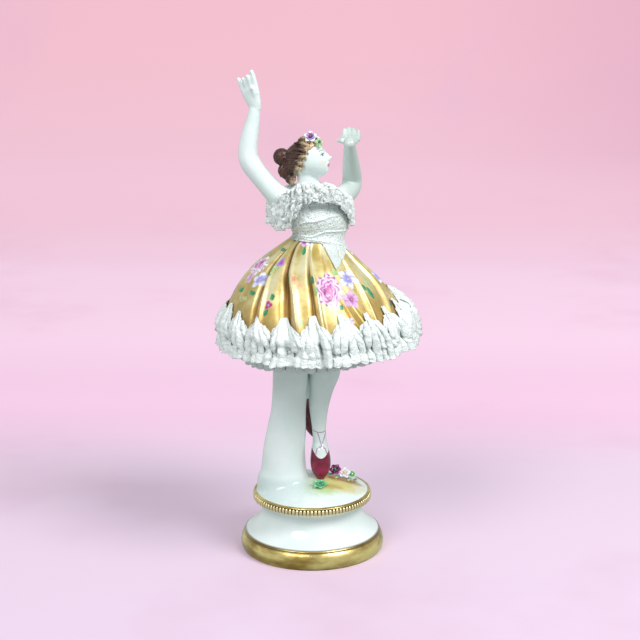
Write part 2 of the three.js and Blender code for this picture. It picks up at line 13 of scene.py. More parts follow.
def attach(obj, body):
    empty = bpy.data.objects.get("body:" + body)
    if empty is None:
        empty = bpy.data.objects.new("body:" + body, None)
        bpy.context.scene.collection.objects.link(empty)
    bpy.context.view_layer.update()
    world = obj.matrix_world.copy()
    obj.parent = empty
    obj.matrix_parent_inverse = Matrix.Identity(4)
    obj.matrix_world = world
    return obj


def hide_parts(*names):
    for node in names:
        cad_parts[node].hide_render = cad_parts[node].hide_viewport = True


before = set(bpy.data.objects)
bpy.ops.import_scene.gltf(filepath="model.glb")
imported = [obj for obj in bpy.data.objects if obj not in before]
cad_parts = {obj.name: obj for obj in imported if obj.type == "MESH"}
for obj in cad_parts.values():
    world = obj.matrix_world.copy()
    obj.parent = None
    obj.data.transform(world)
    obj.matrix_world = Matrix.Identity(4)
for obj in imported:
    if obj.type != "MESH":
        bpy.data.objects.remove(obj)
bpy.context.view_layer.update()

mm = 0.001


def mix(low, high, share):
    return low + (high - low) * share


def ease(low, high, value):  # 0 at low, 1 at high, smooth between
    share = min(max((value - low) / (high - low), 0), 1)
    return share * share * (3 - 2 * share)


def hill(value, middle, width):
    return exp(-((value - middle) / width) ** 2)


def smoothRow(rows, place):  # a value between rows, on a smooth line through them
    last = len(rows) - 1
    place = min(max(place, 0), last)
    index = min(int(place), last - 1)
    share = place - index
    before, start, end, after = (rows[min(max(index + step, 0), last)] for step in (-1, 0, 1, 2))
    return [0.5 * (2 * b + (c - a) * share + (2 * a - 5 * b + 4 * c - d) * share ** 2
                   + (3 * b - a - 3 * c + d) * share ** 3) for a, b, c, d in zip(before, start, end, after)]


def alongStops(stops, value):  # a value between (place, value) stops, eased from one to the next
    for (low, first), (high, second) in zip(stops, stops[1:]):
        if value <= high:
            return mix(first, second, ease(low, high, value))
    return stops[-1][1]


def wobble(x, y, z=0.0):  # smooth noise between about -1 and 1
    return noise.noise(Vector((x, y, z)))


def billow(x, y, z):  # round lumps with sharp creases between, 0 to about 1
    return min(abs(noise.noise(Vector((x, y, z)))) * 2.2, 1) ** 0.7


def crease(turn):  # round ridges with a sharp crease between each two, about -1 to 1
    return 2 * abs(sin(turn / 2)) ** 0.75 - 1.15


def ringSpot(angle, count, height, seed=0.0):  # a place in noise that closes round a ring, in so many lumps
    far = count / tau
    return cos(angle) * far + seed * 7.1, sin(angle) * far - seed * 3.3, height + seed


def ringWobble(*spot):
    return wobble(*ringSpot(*spot))


def ringBillow(*spot):
    return billow(*ringSpot(*spot))


def outward(angle):
    return Vector((cos(angle), sin(angle), 0))


def wrapped(angle):  # in degrees, from -180 to 180
    return (degrees(angle) + 180) % 360 - 180


def linear(red, green, blue):  # a colour given as 0 to 255, as light
    return tuple(((part / 255 + 0.055) / 1.055) ** 2.4 if part > 10 else part / 3295
                 for part in (red, green, blue))


def blendColour(low, high, share):
    return tuple(mix(a, b, share) for a, b in zip(low, high))


def connect(tree, slot, value):
    if isinstance(value, Wire):
        tree.links.new(value.socket, slot)
    elif isinstance(value, tuple) and len(value) == 3 and len(slot.default_value) == 4:
        slot.default_value = (*value, 1)
    else:
        slot.default_value = value


def addNode(tree, kind, settings, values, output=0):  # its inputs go by name or number
    made = tree.nodes.new("ShaderNode" + kind)
    for name, value in settings.items():
        setattr(made, name, value)
    for name, value in values.items():
        connect(tree, made.inputs[name], value)
    return Wire(tree, made.outputs[output])


class Wire:  # a shader socket that takes part in sums
    def __init__(self, tree, socket):
        self.tree = tree
        self.socket = socket

    def sum(self, operation, *values):
        return addNode(self.tree, "Math", {"operation": operation}, dict(enumerate(values)))

    def __add__(self, other):
        return self.sum("ADD", self, other)

    def __radd__(self, other):
        return self.sum("ADD", other, self)

    def __sub__(self, other):
        return self.sum("SUBTRACT", self, other)

    def __rsub__(self, other):
        return self.sum("SUBTRACT", other, self)

    def __mul__(self, other):
        return self.sum("MULTIPLY", self, other)

    def __rmul__(self, other):
        return self.sum("MULTIPLY", other, self)

    def __truediv__(self, other):
        return self.sum("DIVIDE", self, other)

    def size(self):
        return self.sum("ABSOLUTE", self)

    def least(self, other):
        return self.sum("MINIMUM", self, other)

    def most(self, other):
        return self.sum("MAXIMUM", self, other)

    def step(self, low, high):  # 0 under low, 1 over high, smooth between
        smooth = {"interpolation_type": "SMOOTHSTEP"}
        return addNode(self.tree, "MapRange", smooth, {0: self, 1: low, 2: high})

    def within(self, low, high, soft):  # 1 between low and high
        return self.step(low - soft, low + soft) * (1 - self.step(high - soft, high + soft))


class Finish:  # a material and its Principled shader
    def __init__(self, name, **fixed):
        self.material = bpy.data.materials.new(name)
        self.material.use_nodes = True
        self.tree = self.material.node_tree
        self.shader = self.tree.nodes["Principled BSDF"]
        self.place = self.node("TexCoord", {}, {}, 3)
        self.give(**fixed)

    def give(self, **values):  # Base_Color=..., Roughness=...
        for name, value in values.items():
            connect(self.tree, self.shader.inputs[name.replace("_", " ")], value)

    def node(self, kind, settings, values, output=0):
        return addNode(self.tree, kind, settings, values, output)

    def vector(self, operation, first, second, output=0):
        return self.node("VectorMath", {"operation": operation}, {0: first, 1: second}, output)

    def split(self, vector=None):
        return [self.node("SeparateXYZ", {}, {0: vector or self.place}, axis) for axis in range(3)]

    def noise(self, scale, detail=2.0, rough=0.5, vector=None):
        return self.node("TexNoise", {}, {"Vector": vector or self.place, "Scale": scale, "Detail": detail,
                                          "Roughness": rough})

    def cells(self, scale):
        return self.node("TexVoronoi", {}, {"Vector": self.place, "Scale": scale})

    def mixed(self, share, low, high):
        return self.node("Mix", {"data_type": "RGBA"}, {0: share, 6: low, 7: high}, 2)

    def layered(self, tone, *layers):  # colours laid one over the other, each after its share
        for share, *colour in layers:
            tone = self.mixed(share, tone, linear(*colour))
        return tone

    def bump(self, height, depth):
        return self.node("Bump", {}, {"Height": height, "Distance": depth, "Strength": 1.0})

    def creaseShade(self, reach):  # painted shade: 0 in the open, towards 1 deep between folds, from ambient occlusion
        return 1 - self.node("AmbientOcclusion", {"only_local": True, "samples": 8}, {"Distance": reach}, 1)

    def attribute(self, name):
        return self.node("Attribute", {"attribute_name": name}, {})

    def stroke(self, across, along, start, end, half, soft):  # a painted line in a plane, in metres
        rise = (end[0] - start[0]) / (end[1] - start[1])
        away = (across - (along - start[1] * mm) * rise - start[0] * mm).size() / hypot(1, rise)
        low, high = sorted((start[1] * mm, end[1] * mm))
        return (1 - away.step((half - soft) * mm, (half + soft) * mm)) * along.within(low, high, 0.1 * mm)


def surface(columns, rows, place, paint=None):  # a grid whose shares (u, v) go to places
    mesh = bmesh.new()
    bmesh.ops.create_grid(mesh, x_segments=columns, y_segments=rows, size=0.5)
    uvLayer = mesh.loops.layers.uv.new("UVMap")
    for face in mesh.faces:
        for loop in face.loops:
            loop[uvLayer].uv = (loop.vert.co.x + 0.5, loop.vert.co.y + 0.5)
    names = list(paint(0, 0)) if paint else []
    for name in names:
        mesh.verts.layers.float_color.new(name)
    layers = {name: mesh.verts.layers.float_color[name] for name in names}
    for vert in mesh.verts:
        u, v = vert.co.x + 0.5, vert.co.y + 0.5
        if paint:
            for name, colour in paint(u, v).items():
                vert[layers[name]] = colour
        vert.co = Vector(place(u, v)) * mm
    bmesh.ops.remove_doubles(mesh, verts=mesh.verts, dist=2e-6)
    bmesh.ops.recalc_face_normals(mesh, faces=mesh.faces)
    return mesh


def gather(parts):  # several meshes in one
    whole = bmesh.new()
    for part in parts:
        copied = bpy.data.meshes.new("part")
        part.to_mesh(copied)
        part.free()
        whole.from_mesh(copied)
        bpy.data.meshes.remove(copied)
    return whole


def linked(name, data):
    made = bpy.data.objects.new(name, data)
    bpy.context.scene.collection.objects.link(made)
    return made


def meshObject(name, mesh, finish):
    data = bpy.data.meshes.new(name)
    mesh.to_mesh(data)
    mesh.free()
    data.materials.append(finish.material)
    data.shade_smooth()
    print("made", name, len(data.polygons))
    return linked(name, data)


def piece(name, mesh, finish, node="dancer"):
    made = meshObject(name, mesh, finish)
    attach(made, "root")
    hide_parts(node)
    return made


def modify(made, kind, **settings):
    modifier = made.modifiers.new(kind.title(), kind)
    for name, value in settings.items():
        setattr(modifier, name, value)


def fuse(made, voxel, rounds):  # one seamless skin over overlapping bodies
    modify(made, "REMESH", mode="VOXEL", voxel_size=voxel * mm, use_smooth_shade=True)
    modify(made, "SMOOTH", factor=0.5, iterations=rounds)


def tube(stops, columns=32, rows=48, facing=(0, -1, 0), cap=0.06):  # stops [x, y, z, half width, half depth]
    rings = [[*stop, stop[3]][:5] for stop in stops]
    facing = Vector(facing)

    def place(u, v):
        spot = min(max((v - cap) / (1 - 2 * cap), 0), 1) * (len(rings) - 1)
        *middle, wide, deep = smoothRow(rings, spot)
        ahead, behind = (Vector(smoothRow(rings, spot + step)[:3]) for step in (0.02, -0.02))
        way = (ahead - behind).normalized()
        front = (facing - way * facing.dot(way)).normalized()
        past = min(max(cap - v, v - 1 + cap, 0) / cap, 1) * pi / 2
        end = way * (-1 if v < 0.5 else 1) * sin(past) * min(wide, deep) * 0.8
        ring = front * cos(u * tau) * deep + front.cross(way) * sin(u * tau) * wide
        return Vector(middle) + figureLift + end + ring * cos(past)

    return surface(columns, rows, place)


def lathe(profile, steps):  # a profile of (radius, height) turned round the plinth's axis
    mesh = bmesh.new()
    corners = [mesh.verts.new((radius * mm, 0, height * mm)) for radius, height in profile]
    edges = [mesh.edges.new(pair) for pair in zip(corners, corners[1:])]
    bmesh.ops.spin(mesh, geom=corners + edges, cent=(0, 0, 0), axis=(0, 0, 1), dvec=(0, 0, 0),
                   angle=tau, steps=steps, use_merge=True)
    bmesh.ops.remove_doubles(mesh, verts=mesh.verts, dist=2e-6)
    bmesh.ops.recalc_face_normals(mesh, faces=mesh.faces)
    return mesh


plinthSizes = {
    "radius": 34.8, "footHeight": 9, "footStep": 2.2, "waistHeight": 15.4, "ringHeight": 4.2,
    "ringRadius": 28.8, "beads": 100, "beadHalf": 1.7, "moundRadius": 27.2, "moundRise": 6.4,
}
moundTop = plinthSizes["footHeight"] + plinthSizes["waistHeight"] + plinthSizes["ringHeight"]


def moundAt(x, y):
    return moundTop + plinthSizes["moundRise"] * (1 - (x * x + y * y) / plinthSizes["moundRadius"] ** 2)


figureLift = Vector((0, 0, moundAt(4.3, -3.4) + 0.3 - 35.3))  # the toe's place on the mound

skirtRows = [  # level, lean of the middle and radius, from the waist to the hem
    [154.2, 2.6, 10.5], [150, 0.4, 14.2], [141, -1.4, 24], [133.5, -0.9, 31], [124.5, 0, 37.4],
    [115.5, 1.6, 41.6], [107.4, 3, 43],
]
hemTilt = tan(radians(2))
backRight = 0.6
foldReaches = (0.1, 0.3, 0.5, 0.8)
skirtFolds = [  # each valley's angles at those reaches, depth, half width in degrees and ridge beside it
    [(-166, -164, -162, -162), 0.7, 2.6, 0.3], [(-145, -139, -134.5, -132.5), 2.0, 2.5, 1.0],
    [(-131, -117.5, -110, -106.5), 2.6, 3.4, 1.5], [(-101, -90.5, -88, -88), 1.8, 2.0, 1.3],
    [(-72, -70, -66, -59), 0.6, 2.0, 0.5], [(-46, -43, -45.5, -49.5), 1.2, 1.7, 0.9],
    [(-22, -17, -18, -33), 1.7, 2.4, 0.6], [(0, 1, 0, -6), 1.2, 2.4, 0.5], [(18, 17, 16, 15), 1.8, 2.8, 0.5],
    [(38, 40, 40, 41), 1.4, 2.4, 0.7], [(60, 58, 60, 59), 2.0, 3.0, 0.8], [(84, 86, 85, 84), 1.3, 2.4, 0.4],
    [(108, 110, 108, 110), 2.1, 3.2, 0.9], [(130, 127, 129, 129), 1.3, 2.2, 0.4],
    [(152, 155, 154, 154), 1.9, 2.8, 0.8], [(172, 175, 173, 173), 1.3, 2.4, 0.5],
]
valleyRows = {}


def valleysAt(reach):  # the valleys' angles at a reach, in order round the skirt
    key = round(reach, 3)
    if key not in valleyRows:
        index = min(max(bisect_right(foldReaches, key) - 1, 0), 2)
        spot = index + (key - foldReaches[index]) / (foldReaches[index + 1] - foldReaches[index])
        valleyRows[key] = [smoothRow([[angle] for angle in fold[0]], spot)[0] for fold in skirtFolds]
    return valleyRows[key]


def foldAt(angle, reach):  # how far the fold lifts the skirt, and how deep in a valley and high on a ridge
    valleys = valleysAt(reach)
    spot = wrapped(angle)
    if spot < valleys[0]:
        spot += 360
    index = bisect_right(valleys, spot) - 1
    following = (index + 1) % len(valleys)
    start = valleys[index]
    end = valleys[following] + (360 if following == 0 else 0)
    _, deepLeft, wideLeft, ridge = skirtFolds[index]
    _, deepRight, wideRight, _ = skirtFolds[following]
    valley = max(deepLeft * hill(spot, start, wideLeft), deepRight * hill(spot, end, wideRight))
    crest = ridge * hill(spot, start + 2.1 * wideLeft, 0.85 * wideLeft)
    panel = 0.9 * sin(pi * min(max((spot - start) / (end - start), 0), 1)) ** 0.6
    return mix(0.22, 1, ease(0.05, 0.5, reach)) * (panel - valley + crest), valley / 2.6, crest / 1.5


def skirtPlace(angle, reach, extra=0.0, folded=1.0):
    level, lean, radius = smoothRow(skirtRows, reach * (len(skirtRows) - 1))
    if folded:
        radius += folded * (foldAt(angle, reach)[0] + 0.25 * ringWobble(angle, 18, reach * 5))
    rise = radius * cos(angle - backRight) * hemTilt * reach ** 2
    return Vector((lean, 0, level + rise)) + outward(angle) * (radius + extra) + figureLift


trunkTurn = radians(-28)
trunkFront = Vector((-sin(trunkTurn), -cos(trunkTurn), 0))
trunkSide = Vector((cos(trunkTurn), -sin(trunkTurn), 0))
trunkRows = [
    [186, -2.2, 3.2, 5, 5], [181, -1.9, 3.2, 4.9, 4.9], [178, -1.5, 3, 5.8, 5.5], [174.3, -0.5, 2, 12.2, 7.6],
    [170.5, 0.5, 1, 15.4, 9.6], [164, 2.2, -0.2, 15.2, 11.4], [160, 3.2, -0.2, 14.6, 10.8],
    [157.5, 3.7, 0, 13.2, 10], [155.5, 3.8, 0, 12.5, 9.6], [152, 3, 0, 11, 9],
]
waistRow = 8
basqueTip = radians(2.6)


def trunkOut(angle, wide=1, deep=1):
    return trunkFront * cos(angle) * deep + trunkSide * sin(angle) * wide


def trunkPlace(row, angle, extra=0.0):
    level, x, y, wide, deep = smoothRow(trunkRows, row)
    return Vector((x, y, level)) + trunkOut(angle, wide + extra, deep + extra) + figureLift


def basqueLevel(angle):  # the pointed edge under the waist, steep on the left of its tip
    past = (angle - basqueTip + pi) % tau - pi
    off = (-past / 0.106) ** 0.9 if past < 0 else past / 0.85
    return 153.2 - 11 * exp(-off)


def reachAt(level):
    for row in range(1, len(skirtRows)):
        if skirtRows[row][0] <= level:
            above, below = skirtRows[row - 1][0], skirtRows[row][0]
            return max(row - 1 + (above - level) / (above - below), 0) / (len(skirtRows) - 1)
    return 1.0


def bodicePlace(angle, v):  # v runs from the arms' level over the waist to the basque's edge
    split = 0.62
    if v < split:
        return trunkPlace(mix(3.6, waistRow, v / split), angle, 0.3)
    share = (v - split) / (1 - split)
    level = mix(trunkRows[waistRow][0], basqueLevel(angle), share)
    spread = trunkOut(angle)
    heading, reach = atan2(spread.y, spread.x), reachAt(level)
    placed = trunkPlace(waistRow, angle, 0.3).lerp(skirtPlace(heading, reach, 0.8, 0), share ** 0.7)
    _, lean, radius = smoothRow(skirtRows, reach * (len(skirtRows) - 1))
    away = Vector((placed.x - lean, placed.y, 0))
    stand = radius + max(foldAt(heading, reach)[0], 0) + 0.7
    if level < skirtRows[0][0] and away.length < stand:  # the basque lies on the skirt
        placed = Vector((lean, 0, 0)) + away.normalized() * stand
    placed.z = level + figureLift.z
    return placed


def glaze(name):  # cool white porcelain under clear glaze
    finish = Finish(name, Roughness=0.12, Coat_Weight=0.4, Coat_Roughness=0.05)
    finish.tone = finish.layered(linear(229, 243, 241), (finish.noise(60, 3).step(0.35, 0.7), 240, 249, 249))
    finish.give(Base_Color=finish.tone, Normal=finish.bump(finish.noise(300), 0.04 * mm))
    return finish


def gild(finish):  # old gold, rubbed to bronze in long soft streaks
    streak = finish.noise(45, 3, 0.55, finish.vector("MULTIPLY", finish.place, (1, 1, 3)))
    tone = finish.layered(linear(160, 128, 54), (streak.step(0.36, 0.66), 248, 229, 150),
                          (finish.noise(420).step(0.62, 0.8) * 0.3, 116, 82, 34))
    return tone, streak * 0.16 + 0.18


# Plinth
sizes = plinthSizes
waistEdge = sizes["radius"] - sizes["footStep"]
waistTop = sizes["footHeight"] + sizes["waistHeight"]
foot = interpolate_bezier((34.2, 0.4), (35.2, 2.6), (34.9, 5.6), (33.3, 7.7), 13)
scotia = interpolate_bezier((waistEdge - 0.5, 9.3), (27, 12.6), (21.6, 18.6), (25.4, waistTop - 0.1), 29)
profile = [(0, 0), (33.6, 0), (34, 0.12), *foot, (33.0, 7.9), (32.9, 8.15), (33.05, 8.4), (32.9, 8.8),
           (32.5, 9.05), *scotia, (26.6, waistTop + 0.05), (27.3, waistTop + 0.2), (27.6, waistTop + 0.5),
           (27.7, moundTop - 0.8), (28.2, moundTop - 0.75), (28.4, moundTop - 0.5), (28.3, moundTop - 0.2),
           (27.9, moundTop), (26, moundTop + 0.1), (0, moundTop + 0.1)]
finish = glaze("plinthGlaze")
x, y, z = finish.split()
gold, goldRough = gild(finish)
goldMask = ((1 - z.step(8.95 * mm, 9.15 * mm)) + z.step(waistTop * mm, (waistTop + 0.15) * mm)).least(1.0)
# painted shade: a dark line in the groove of the foot and another along the step where the gold ends
groove = (1 - (z - 8.2 * mm).size().step(0.2 * mm, 0.6 * mm)) * 0.65
edgeShade = (1 - (z - 9.1 * mm).size().step(0.1 * mm, 0.4 * mm)) * 0.6
tone = finish.layered(finish.mixed(goldMask, finish.tone, gold), (groove.most(edgeShade), 96, 66, 26))
finish.give(Base_Color=tone, Metallic=goldMask * 0.8, Roughness=mix(0.12, goldRough, goldMask))
piece("plinth_base", lathe(profile, 180), finish, "plinth")

finish = Finish("beadGold", Metallic=0.8)
tone, rough = gild(finish)
x, y, z = finish.split()
ringEdge, beadHalf = sizes["ringRadius"], sizes["beadHalf"]
# painted shade: dark in the gaps between the beads and deep in the creases; their outer crowns are paler gold
tops = (x * x + y * y).step(((ringEdge - 1.1) * mm) ** 2, ((ringEdge - 0.4) * mm) ** 2)
beadGapShade = finish.creaseShade(1.6 * mm).step(0.12, 0.5)
tone = finish.layered(tone, ((1 - tops) * 0.8, 120, 86, 38), (tops * 0.8, 255, 240, 196),
                      (beadGapShade * 0.9, 92, 62, 24))
finish.give(Base_Color=tone, Roughness=rough)
beads = bmesh.new()
for index in range(sizes["beads"]):
    angle = index / sizes["beads"] * tau
    spot = outward(angle) * (ringEdge - 1.0) + Vector((0, 0, moundTop - 0.7 - beadHalf))
    turned = Matrix.Rotation(angle, 4, "Z") @ Matrix.Diagonal((1.0, 0.95, beadHalf, 1))
    bmesh.ops.create_uvsphere(beads, u_segments=8, v_segments=6, radius=mm,
                              matrix=Matrix.Translation(spot * mm) @ turned)
piece("bead_ring", beads, finish, "plinth")

supportStops = [
    [-13.388, 0.3, 29.3, 13.4, 12.8], [-13.9, 0.4, 33.8, 12.8, 11], [-13.8, 0.6, 38.9, 11, 9.8],
    [-13.5, 0.9, 48.1, 10.2, 9], [-12.2, 1.2, 59.4, 9.3, 8.4], [-11.2, 1.3, 69.7, 8.4, 7.8],
    [-10.3, 1.3, 86.1, 8.5, 7.7], [-9.8, 1.4, 106.6, 8.8, 7.8], [-7.6, 1.4, 131, 8.8, 7.8],
]
finish = glaze("moundGlaze")
x, y, z = finish.split()
grain = finish.noise(240, 4, 0.6)
low = 1 - z.step(34.5 * mm, 38 * mm)


def stainAndShade(spotX, spotY, wide, deep, most):  # a soft patch of tint on the mound, a stain or painted shade
    across = (x - spotX * mm) / (wide * mm)
    back = (y - spotY * mm) / (deep * mm)
    far = across * across + back * back + (grain - 0.5) * 0.9
    return (1 - far.step(0.0, 1.0)) * low * most


# yellow, green and brown stains; the dark patch in the hollow behind the shoe and the cool grey patch over
# the mound's left are painted shade
finish.give(Base_Color=finish.layered(
    finish.tone, (stainAndShade(11.5, -3.5, 17, 13, 1.0), 214, 200, 112), (stainAndShade(4, -11, 12, 9, 0.85), 186, 208, 122),
    (stainAndShade(9.5, -10, 6, 3.4, 0.75), 190, 150, 66), (stainAndShade(15.5, 1.2, 12, 5, 0.95), 158, 104, 40),
    (stainAndShade(3, 1.5, 4.6, 5, 0.8), 92, 104, 76), (stainAndShade(-13, -9, 22, 22, 0.75), 204, 222, 221)))
moundEdge, moundSteps = 27.5, 12
radii = [moundEdge * (1 - index / moundSteps) for index in range(moundSteps + 1)]
dome = [(radius, moundAt(radius, 0)) for radius in radii]
mound = lathe([(0, moundTop - 2), (moundEdge, moundTop - 2), *dome], 96)
support = tube([[x, y, z - figureLift.z, *halves] for x, y, z, *halves in supportStops], 48, 80, cap=0.004)
fuse(piece("mound_and_support", gather([mound, support]), finish, "plinth"), 0.75, 8)
print("plinth done")

# Skirt
skirtLook = {"columns": 620, "rows": 150, "wall": 1.1}
petals = {name: linear(*tone) for name, tone in {
    "pale": (232, 194, 230), "pink": (208, 112, 190), "deep": (172, 40, 142), "wine": (122, 8, 82),
    "white": (246, 245, 250), "lavender": (164, 148, 220), "blue": (134, 134, 208), "yellow": (246, 220, 130),
    "coral": (234, 124, 104), "magenta": (204, 40, 132), "plum": (84, 16, 84), "leaf": (72, 168, 116),
    "leafDark": (16, 92, 72), "leafPale": (190, 218, 160), "gap": (214, 160, 74), "emerald": (96, 206, 138),
}.items()}
paintedFlowers = [  # kind, angle, reach, half width, half height, turn
    ["rose", -73, 0.48, 5.8, 8.6, 0], ["bluebell", -49.5, 0.405, 5.4, 5.4, 0.4],
    ["violet", -57.5, 0.565, 4.2, 4.6, 1.2], ["leaf", -67.5, 0.615, 1.3, 1.6, 0.9],
    ["leaf", -35.5, 0.55, 1.5, 3.6, 0.1], ["leafPale", -30.5, 0.463, 1.4, 2.6, 0.5],
    ["leafPale", -60.5, 0.33, 1.6, 2.2, 0.6], ["leaf", -38.5, 0.5, 1.2, 2, -0.5],
    ["sprig", -79.5, 0.62, 2.6, 2.2, 0], ["violetPale", -65.5, 0.725, 3.4, 2, 0.6],
    ["rosePale", -163, 0.325, 6.6, 5.6, 1], ["bluebell", -141.5, 0.425, 4.4, 4.2, 2],
    ["violet", -160.5, 0.44, 3.8, 3.6, 0.5], ["leaf", -163, 0.557, 2.2, 1.5, 0.3],
    ["leaf", -142.5, 0.54, 2.4, 1.5, -0.7], ["sprig", -150, 0.6, 3, 2, 0],
    ["violetBud", -129, 0.27, 1.8, 3, 0.4], ["leafPale", -131, 0.31, 2.2, 1.5, 0.8],
    ["leafPale", -133.5, 0.35, 1.9, 2.2, 0.2], ["leaf", -134, 0.37, 1.4, 1.8, 0.2],
    ["leafPale", -178, 0.25, 3, 1.6, -0.4], ["leaf", -150, 0.19, 2.2, 1.2, -0.5],
    ["violet", -116, 0.078, 2.6, 2.4, 0.2], ["white", -103, 0.085, 1.7, 1.6, 0],
    ["leaf", -104.5, 0.18, 1.1, 2.4, 0], ["coral", -104, 0.375, 1.7, 2.8, 0.5],
    ["coralPale", -98, 0.43, 2.2, 2.4, 0], ["leaf", -110, 0.39, 0.9, 2.2, -0.2],
    ["bud", -122, 0.6, 1.8, 2.1, 0], ["leaf", -120.5, 0.54, 1.3, 1.8, -0.7],
    ["leaf", -123, 0.655, 1.4, 1.8, 0.5], ["leaf", -86.5, 0.385, 1.1, 2.4, 0.2],
    ["leafPale", -84.5, 0.475, 1, 2.6, 0.2], ["sprig", -99, 0.65, 1.6, 2, 0],
    ["leafPale", -97.5, 0.71, 1.7, 1.2, 0.3], ["rose", 22, 0.45, 6.4, 7.4, 0.4],
    ["bluebell", 6, 0.5, 4.6, 4.6, 0], ["leaf", 36, 0.52, 1.8, 3, 0.5], ["leaf", 12, 0.6, 2, 1.4, -0.4],
    ["violet", 46, 0.4, 3.6, 3.8, 0], ["sprig", 30, 0.64, 3, 2, 0], ["rosePale", 84, 0.42, 6, 6.6, 2],
    ["violet", 98, 0.54, 4, 3.8, 0], ["bluebell", 70, 0.52, 4.2, 4, 1], ["leaf", 92, 0.6, 1.8, 2.6, 0.4],
    ["leaf", 76, 0.32, 1.4, 2.4, -0.5], ["bud", 110, 0.38, 1.8, 2.4, 0], ["coral", 62, 0.66, 2.2, 2.4, 0],
    ["sprig", 104, 0.68, 3, 2.2, 0], ["leafPale", 118, 0.5, 1.8, 2.6, 0.6], ["rose", 142, 0.47, 6, 7.2, 1.2],
    ["bluebell", 160, 0.4, 4.6, 4.4, 0], ["violet", 157, 0.58, 4, 4, 0], ["leaf", 130, 0.56, 1.8, 2.8, -0.4],
    ["leaf", 150, 0.66, 2, 1.6, 0.4], ["violetBud", 128, 0.3, 1.7, 2.8, 0], ["bud", 56, 0.2, 1.4, 2, 0],
    ["leaf", 50, 0.26, 1, 2, 0.4], ["violetPale", 2, 0.24, 2.4, 2.2, 0], ["leafPale", -6, 0.3, 1.4, 2.4, 0.2],
    ["coralPale", -14, 0.62, 2.6, 2.4, 0], ["leaf", -20, 0.68, 1.8, 1.4, 0.4],
    ["bud", 176, 0.66, 1.8, 2.2, 0], ["leaf", 178, 0.6, 1.4, 1.8, 0.6],
]
for flower in paintedFlowers:
    angle, reach = radians(flower[1]), flower[2]
    middle = skirtPlace(angle, reach, 0, 0)
    across = (skirtPlace(angle + 0.01, reach, 0, 0) - middle).normalized()
    down = (skirtPlace(angle, reach + 0.01, 0, 0) - middle).normalized()
    flower.extend([middle, across, down, max(flower[3], flower[4]) * 1.4])


def overlaid(tone, layers):  # petal colours laid one over the other, each with its share
    for name, share in layers:
        tone = blendColour(tone, petals[name], share)
    return tone


def blob(x, y, spotX, spotY, wide, tall):
    return hill(x, spotX, wide) * hill(y, spotY, tall)


def rose(r, turn, x, y, outer):  # a cabbage rose, dashed darker round its petals
    far = r / (1 + 0.07 * cos(9 * turn + 1) + 0.05 * cos(5 * turn))
    if far > 1.05:
        return None
    wavy = far + 0.08 * cos(6 * turn + 2) + 0.05 * cos(3 * turn)
    layers = [(outer, ease(0.15, 0.9, far + 0.3 * wobble(x * 1.8, y * 1.8, 3)))]
    for radius, count in ((0.28, 3), (0.52, 4), (0.76, 6)):
        gate = ease(-0.5, 0.2, cos(count * turn + radius * 9))
        layers += [("white", 0.75 * hill(wavy, radius + 0.1, 0.05)),
                   ("deep", 0.9 * hill(wavy, radius, 0.055) * gate)]
    hollow = min(0.95 * (blob(x, y, -0.42, -0.02, 0.15, 0.3) + blob(x, y, -0.12, 0.5, 0.28, 0.13)), 1)
    dash = ease(-0.1, 0.5, cos(15 * turn)) * hill(far, 0.92, 0.07)
    layers += [
        ("deep", hollow * ease(-0.35, 0.1, wobble(x * 6, y * 6))),
        ("wine", blob(x, y, -0.4, 0.1, 0.09, 0.16) + blob(x, y, -0.1, 0.58, 0.14, 0.08)),
        ("yellow", 0.7 * blob(x, y, 0.08, 0.02, 0.08, 0.1)), ("wine", dash * (0.95 if x + y < 0.5 else 0.4)),
        ("white", ease(0.5, 1, x) * ease(0.3, 0.8, far) * 0.35),
    ]
    return overlaid(petals["pink"], layers), 1 - ease(0.97, 1.05, far)


def simpleFlower(r, turn, x, y, heart, rim, middle, most, count):
    far = r / (0.86 + 0.14 * cos(count * turn) + 0.05 * cos(3 * turn))
    if far > 1.08:
        return None
    gap = ease(0.7, 1, 0.5 - 0.5 * cos(count * turn)) * ease(0.15, 0.5, far)
    return overlaid(petals[heart], [
        (rim, ease(0.2, 0.85, far + 0.25 * wobble(x * 3, y * 3, 5))),
        (heart, 0.6 * ease(0.1, 0.6, wobble(x * 5, y * 5, 2)) * ease(0.3, 0.7, far)), ("blue", 0.7 * gap),
        (heart, 0.7 * hill(far, 0.93, 0.06) * ease(-0.2, 0.2, wobble(x * 5, y * 5, 8))),
        (middle, min(1.3 * hill(far, 0, 0.24), 1)), ("yellow", 0.8 * hill(far, 0, 0.1)),
    ]), most * (1 - ease(0.98, 1.08, far))


def leafPaint(x, y, light, dark, most):
    width = max(1 - y * y, 0) ** 0.8 * (0.85 + 0.15 * y)
    if abs(x) > width + 0.1:
        return None
    shaded = (0.85 if x > 0 else 0.15) * ease(-0.3, 0.6, wobble(x * 3, y * 3, 2) + 0.3)
    tone = blendColour(petals[light], petals[dark], max(shaded, 0.8 * hill(x, 0, 0.13)))
    return tone, most * (1 - ease(width - 0.1, width + 0.08, abs(x)))


def sprig(x, y):
    curl = min(abs(hypot(x + 0.35, y - 0.2) - 0.42), abs(hypot(x - 0.45, y + 0.25) - 0.34),
               abs(y + 0.5 - 0.7 * x * x))
    return petals["leafPale"], 0.85 * (1 - ease(0.06, 0.18, curl)) * (1 - ease(0.85, 1, hypot(x, y)))


simpleFlowers = {  # heart, rim and middle of each kind, how strongly it is laid on, number of petals
    "bluebell": ("blue", "white", "lavender", 1, 5), "violet": ("pink", "pale", "wine", 1, 5),
    "violetPale": ("lavender", "white", "white", 0.9, 5), "white": ("white", "white", "wine", 1, 5),
    "coral": ("coral", "yellow", "coral", 0.8, 5), "coralPale": ("coral", "yellow", "coral", 0.5, 5),
    "bud": ("wine", "magenta", "pale", 1, 3), "violetBud": ("deep", "lavender", "deep", 1, 3),
}


